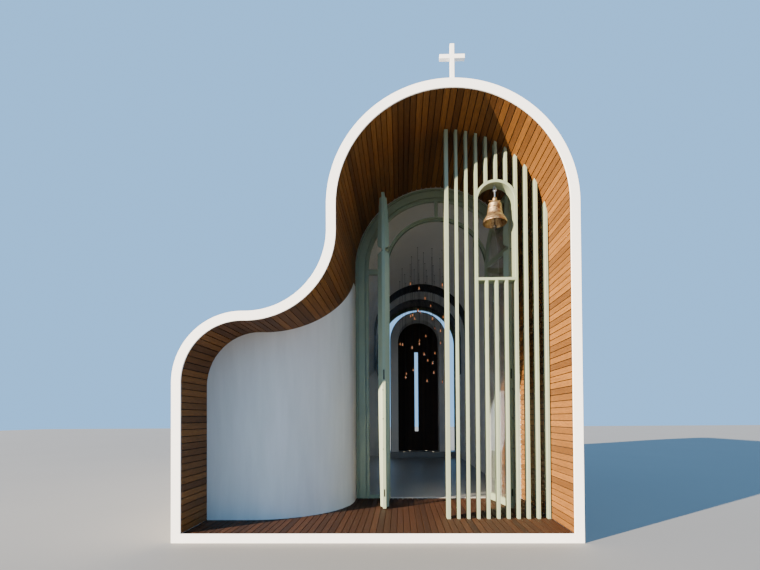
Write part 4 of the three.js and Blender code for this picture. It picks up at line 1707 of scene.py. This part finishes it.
@dataclass
class Nave:
    """Plastered inside of the shell with two bands of dark slats, the floor and its lights."""

    bands: tuple[Point, ...] = ((2.39, 3.16), (4.14, 5.19))
    slat: float = 0.026
    slat_gap: float = 0.030
    slat_depth: float = 0.018
    backing: float = 0.003
    # How far below the spring line the backing starts
    backing_drop: float = 1.2
    lights: tuple[Point, ...] = ((0.445, 4.55), (0.68, 5.13), (1.30, 5.13), (1.52, 4.55))
    light_radius: float = 0.035
    light_rim: float = 3 * MM
    light_sides: int = 24
    # Part of the light's radius and height in millimetres
    lens: tuple[Point, ...] = ((1, 0), (1, 2), (0.6, 6), (0.1, 7))

    def build(self) -> None:
        """Makes the plaster, the slats and the floor lights."""
        low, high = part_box("nave_lining")
        shape = Shape()
        shape.sweep(lambda inset: OUTLINE.points(inset, low.z), layer(SHELL + GAP, RIM, low.y, high.y))
        shape.build("nave_plaster", GREY_PLASTER, replaces=("nave_lining",))
        self.slats()
        dress_nodes(GROUND_CONCRETE, "ground_slab", "nave_floor", "sanctuary_step")
        self.floor_lights()

    def slats(self) -> None:
        """Thin slats that run into the building, on a black backing."""
        face = OUTLINE.arch_radius - RIM
        centre = Vector((OUTLINE.arch_x, OUTLINE.spring))
        count = round(math.pi * face / (self.slat + self.slat_gap))
        backing = Shape()
        slats = Shape()
        for start, end in self.bands:
            backing.sweep(
                lambda inset: OUTLINE.stilted(face - inset, OUTLINE.spring - self.backing_drop),
                layer(0.0, self.backing, start, end),
            )
            for i in range(count):
                angle = math.pi * (i + 0.5) / count
                out = Vector((math.cos(angle), math.sin(angle)))
                along = Vector((-out.y, out.x)) * self.slat / 2
                outer = centre + out * (face - self.backing)
                inner = outer - out * self.slat_depth
                slats.bar((outer - along, outer + along, inner + along, inner - along), start, end)
        backing.build("vault_slat_backing", BLACK_FELT_AND_PAINTED_SHADE)
        slats.build("vault_slats", DARK_SLATS)

    def floor_lights(self) -> None:
        """Small round lights let into the step before the apse."""
        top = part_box("sanctuary_step")[1].z
        r = self.light_radius
        glow = Shape()
        rims = Shape()
        for x, y in self.lights:
            centre = Vector((x, y, top))
            glow.turned([(part * r, height * MM) for part, height in self.lens], centre, self.light_sides)
            rims.ring(centre, r, self.light_rim, Vector((0, 0, 1)))
        glow.build("floor_light_lenses", LIGHT_LENS)
        rims.build("floor_light_rims", STEEL)


@dataclass
class Apse:
    """Plaster portal round the dark apse, and the slatted wall with a slit behind it."""

    outer: float = 1.030
    inner: float = 0.760
    spring: float = 4.465
    edge: float = 3 * MM
    trim: float = 0.018
    trim_proud: float = 4 * MM
    slat: float = 0.036
    slat_gap: float = 0.014
    slat_depth: float = 0.020
    slat_edge: float = 1.5 * MM
    slat_clearance: float = 2 * MM
    slit_x: float = 0.945
    slit_half: float = 0.0675

    def build(self) -> None:
        """Makes the portal and the slatted wall."""
        low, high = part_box("apse_shell")
        e = self.edge
        shape = Shape()
        shape.sweep(lambda offset: OUTLINE.stilted(offset, low.z, self.spring), (
            (self.outer, high.y), (self.outer, low.y + e), (self.outer - e, low.y),
            (self.inner + e, low.y), (self.inner, low.y + e), (self.inner, high.y),
        ))
        shape.build("portal_plaster", GREY_PLASTER, replaces=("apse_shell",))
        rim, proud = self.outer + self.trim, low.y - self.trim_proud
        trim = Shape()
        trim.sweep(lambda offset: OUTLINE.stilted(offset, low.z, self.spring), (
            (self.outer, proud), (rim, proud), (rim, high.y), (self.outer, high.y),
        ))
        trim.build("portal_trim", BLACK_FELT_AND_PAINTED_SHADE)
        self.slatted_wall(low.z)

    def slatted_wall(self, floor: float) -> None:
        """Upright dark slats on both faces of the wall behind the apse.

        Args:
            floor: foot of the slats inside the apse.
        """
        low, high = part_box("apse_rear_wall")
        slit_low, slit_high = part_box("slit_glass")
        dress_nodes(DARK_SLATS, "apse_rear_wall")
        dress_nodes(CLEAR_GLASS, "slit_glass")
        half = self.slat / 2
        slats = Shape()
        for reach, foot, near, far in (
            (self.inner, floor, low.y - self.slat_depth, low.y),
            (self.outer, low.z, high.y, high.y + self.slat_depth),
        ):
            count = int(2 * reach / (self.slat + self.slat_gap))
            for i in range(count):
                x = OUTLINE.arch_x - reach + (i + 0.5) * 2 * reach / count
                side = abs(x - OUTLINE.arch_x) + half
                if side >= reach:
                    continue
                top = self.spring + math.sqrt(reach ** 2 - side ** 2) - self.slat_clearance
                spans = [(foot, top)]
                if abs(x - self.slit_x) < self.slit_half + half:
                    spans = [(foot, slit_low.z), (slit_high.z, top)]
                for z0, z1 in spans:
                    slats.block((x - half, near, z0), (x + half, far, z1), self.slat_edge)
        slats.build("apse_wall_slats", DARK_SLATS)


@dataclass
class RearScreen(ArchedScreen):
    """Screen at the rear: arched frame with a crown bar and bottom rails, glazed beside the apse."""

    frame: float = 0.120
    apse: Apse = field(default_factory=Apse)
    # A groove along both faces of the frame: where it starts and ends, and its depth
    groove: Point = (0.014, 0.020)
    groove_depth: float = 0.006

    def build(self) -> None:
        """Makes the frame with its bars and dresses the panes."""
        low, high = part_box("rear_screen_frame")
        (start, end), deep, width = self.groove, self.groove_depth, self.frame
        proud = width + self.bead
        shape = Shape()
        shape.sweep(lambda inset: OUTLINE.stilted(self.radius - inset, low.z), (
            (0.0, low.y), (start, low.y), (start, low.y + deep), (end, low.y + deep), (end, low.y),
            (width, low.y), (width, low.y + self.bead_near), (proud, low.y + self.bead_near),
            (proud, low.y + self.bead_far), (width, low.y + self.bead_far), (width, high.y),
            (end, high.y), (end, high.y - deep), (start, high.y - deep), (start, high.y), (0.0, high.y),
        ))
        inner = self.radius - width
        self.crown_bar(shape, self.apse.spring + self.apse.outer, inner, low.y, high.y)
        reaches = (self.apse.outer + LAP, inner + LAP)
        self.side_bars(shape, reaches, low.y, high.y, ((low.z, self.rail_top),))
        shape.build("rear_screen", SAGE_COAT, replaces=("rear_screen_frame",))
        dress_nodes(CLEAR_GLASS, "rear_left_glass", "rear_right_glass")


@dataclass
class HangingLamps:
    """Bare bulbs on thin black leads, spread on a sunflower spiral over the nave."""

    count: int = 32
    spread_x: float = 0.720
    spread_y: float = 1.900
    middle_y: float = 1.100
    lowest: float = 2.600
    rise: float = 2.700
    lead_radius: float = 0.003
    lead_foot: float = 0.12
    # The roses stand this far below the vault, and the leads end this far below it
    rose_gap: float = 2 * MM
    lead_gap: float = 0.015
    bulb_sides: int = 16
    core_sides: int = 10
    cap_sides: int = 12
    lead_sides: int = 6
    # Radius and height in millimetres
    bulb_mm: tuple[Point, ...] = (
        (2, 0), (14, 3), (24, 11), (31, 22), (34, 34), (32, 48), (26, 62), (19, 74), (14, 84), (13, 90),
    )
    core_mm: tuple[Point, ...] = ((2, 20), (7, 25), (10, 34), (9, 46), (5, 60), (4, 88))
    cap_mm: tuple[Point, ...] = ((13, 88), (14, 90), (14, 112), (10, 120), (3, 122))
    rose_mm: tuple[Point, ...] = ((3, -12), (6, -10), (12, -6), (14, -3), (14, 0))

    def build(self) -> None:
        """Makes the bulbs, their cores, caps, leads and ceiling roses."""
        bulbs, cores, caps, leads = Shape(), Shape(), Shape(), Shape()
        golden_angle = math.pi * (3 - math.sqrt(5))
        for i in range(self.count):
            reach = math.sqrt((i + 0.5) / self.count)
            x = OUTLINE.arch_x + self.spread_x * reach * math.cos(i * golden_angle)
            y = self.middle_y + self.spread_y * reach * math.sin(i * golden_angle)
            # Steps of the root of two never repeat, so no two neighbours hang at one height
            z = self.lowest + self.rise * (i * math.sqrt(2) % 1)
            roof = OUTLINE.soffit(x, RIM) - self.rose_gap
            foot = Vector((x, y, z))
            bulbs.turned(metres(self.bulb_mm), foot, self.bulb_sides)
            cores.turned(metres(self.core_mm), foot, self.core_sides)
            caps.turned(metres(self.cap_mm), foot, self.cap_sides)
            caps.turned(metres(self.rose_mm), Vector((x, y, roof)), self.bulb_sides)
            lead = [(self.lead_radius, height) for height in (self.lead_foot, roof - z - self.lead_gap)]
            leads.turned(lead, foot, self.lead_sides)
        bulbs.build("lamp_bulbs", BULB_GLASS, replaces=("hanging_lamps",))
        cores.build("lamp_cores", LAMP_CORE)
        caps.build("lamp_caps", BLACK_CABLE)
        leads.build("lamp_leads", BLACK_CABLE)


@dataclass
class Studio:
    """Pale floor, soft light and a camera at the photograph's viewing angle."""

    # The photograph: its size, and the lens and the point straight ahead in its pixels
    width_px: float = 760.0
    height_px: float = 570.0
    focal_px: float = 424.6
    centre_px: Point = (391.49, 410.94)
    place: Sequence[float] = (0.3233, -11.1235, 1.60)
    pitch_deg: float = 0.887
    yaw_deg: float = -1.193
    roll_deg: float = -0.359
    sensor_mm: float = 36.0
    farthest: float = 300.0
    floor_reach: float = 60.0
    # Low sun from the front left
    sun_travel: Sequence[float] = (1.18, 0.80, -0.33)
    sun_strength: float = 26.0
    sun_spread_deg: float = 0.6
    sun_colour: str = "#FFEBCF"
    # Even sky all round
    sky_colour: str = "#7FB2E4"
    sky_strength: float = 1.7
    # Soft light into the nave, as from a window of the aisle
    fill_size: Point = (1.4, 2.0)
    fill_place: Sequence[float] = (-2.0, 1.2, 1.5)
    fill_travel: Sequence[float] = (1.0, 0.15, 0.35)
    fill_power: float = 18.0
    fill_colour: str = "#E4ECF6"

    def camera(self) -> None:
        """Sets up the camera with a nearly upright picture plane and a raised frame."""
        pitch, yaw, roll = (math.radians(a) for a in (self.pitch_deg, self.yaw_deg, self.roll_deg))
        ahead = Vector((math.sin(yaw) * math.cos(pitch), math.cos(yaw) * math.cos(pitch), math.sin(pitch)))
        right = Vector((math.cos(yaw), -math.sin(yaw), 0))
        up = right.cross(ahead)
        tilted_right = right * math.cos(roll) + up * math.sin(roll)
        tilted_up = up * math.cos(roll) - right * math.sin(roll)
        data = bpy.data.cameras.new("photo_camera")
        data.sensor_width = self.sensor_mm
        data.lens = self.focal_px / self.width_px * data.sensor_width
        data.shift_x = (self.width_px / 2 - self.centre_px[0]) / self.width_px
        data.shift_y = (self.centre_px[1] - self.height_px / 2) / self.width_px
        data.clip_end = self.farthest
        camera = bpy.data.objects.new("photo_camera", data)
        turn = Matrix((tilted_right, tilted_up, -ahead)).transposed().to_4x4()
        camera.matrix_world = Matrix.Translation(self.place) @ turn
        bpy.context.scene.collection.objects.link(camera)
        bpy.context.scene.camera = camera

    def floor(self) -> None:
        """A wide pale floor."""
        mesh = bpy.data.meshes.new("studio_floor")
        reach = self.floor_reach
        corners = ((-reach, -reach, 0), (reach, -reach, 0), (reach, reach, 0), (-reach, reach, 0))
        mesh.from_pydata(corners, [], [(0, 1, 2, 3)])
        mesh.materials.append(STUDIO_FLOOR.material())
        floor = bpy.data.objects.new("studio_floor", mesh)
        bpy.context.scene.collection.objects.link(floor)

    def light(
        self, name: str, kind: str, energy: float, colour: str, travel: Sequence[float],
    ) -> bpy.types.Object:
        """Adds one light.

        Args:
            name: its name.
            kind: SUN or AREA.
            energy: strength of a sun, or power of an area in watts.
            colour: its sRGB hex colour.
            travel: the direction that its light travels in.

        Returns:
            The light's object.
        """
        data = bpy.data.lights.new(name, kind)
        data.energy = energy
        data.color = linear(colour)[:3]
        light = bpy.data.objects.new(name, data)
        light.rotation_euler = Vector(travel).to_track_quat("-Z", "Y").to_euler()
        bpy.context.scene.collection.objects.link(light)
        return light

    def lights(self) -> None:
        """A low key light from the front left, a soft fill in the nave and a pale sky all round."""
        key = self.light("key_light", "SUN", self.sun_strength, self.sun_colour, self.sun_travel)
        key.data.angle = math.radians(self.sun_spread_deg)
        fill = self.light("nave_fill", "AREA", self.fill_power, self.fill_colour, self.fill_travel)
        fill.location = self.fill_place
        fill.data.shape = "RECTANGLE"
        fill.data.size, fill.data.size_y = self.fill_size
        world = bpy.data.worlds.new("studio_sky")
        world.use_nodes = True
        world.node_tree.nodes.clear()
        sky = add_node(world.node_tree, "ShaderNodeBackground", {
            "Color": linear(self.sky_colour), "Strength": self.sky_strength,
        })
        add_node(world.node_tree, "ShaderNodeOutputWorld", {"Surface": sky.outputs["Background"]})
        bpy.context.scene.world = world

    def build(self) -> None:
        """Sets the stage."""
        self.camera()
        self.floor()
        self.lights()


def main() -> None:
    """Builds and dresses the chapel from the outside in."""
    logging.basicConfig(level=logging.INFO, format="%(message)s")
    Studio().build()
    wall = AisleWall()
    for part in (
        Shell(),
        Boarding("porch", "porch_lining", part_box("porch_deck")[1].z),
        Boarding("rear_porch", "rear_lining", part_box("rear_deck")[1].z, seed=11),
        Decking("porch", "porch_deck", wall.face, (wall.right,)),
        Decking("rear_porch", "rear_deck", lambda x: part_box("rear_deck")[1].y),
        wall,
        GlazedScreen(),
        DoorLeaf(Side.LEFT, 93.0),
        DoorLeaf(Side.RIGHT, 103.0),
        FinRow(),
        BellNiche(),
        Bell(),
        RoofCross(),
        Nave(),
        Apse(),
        RearScreen(),
        HangingLamps(),
    ):
        part.build()


if __name__ == "__main__":
    main()
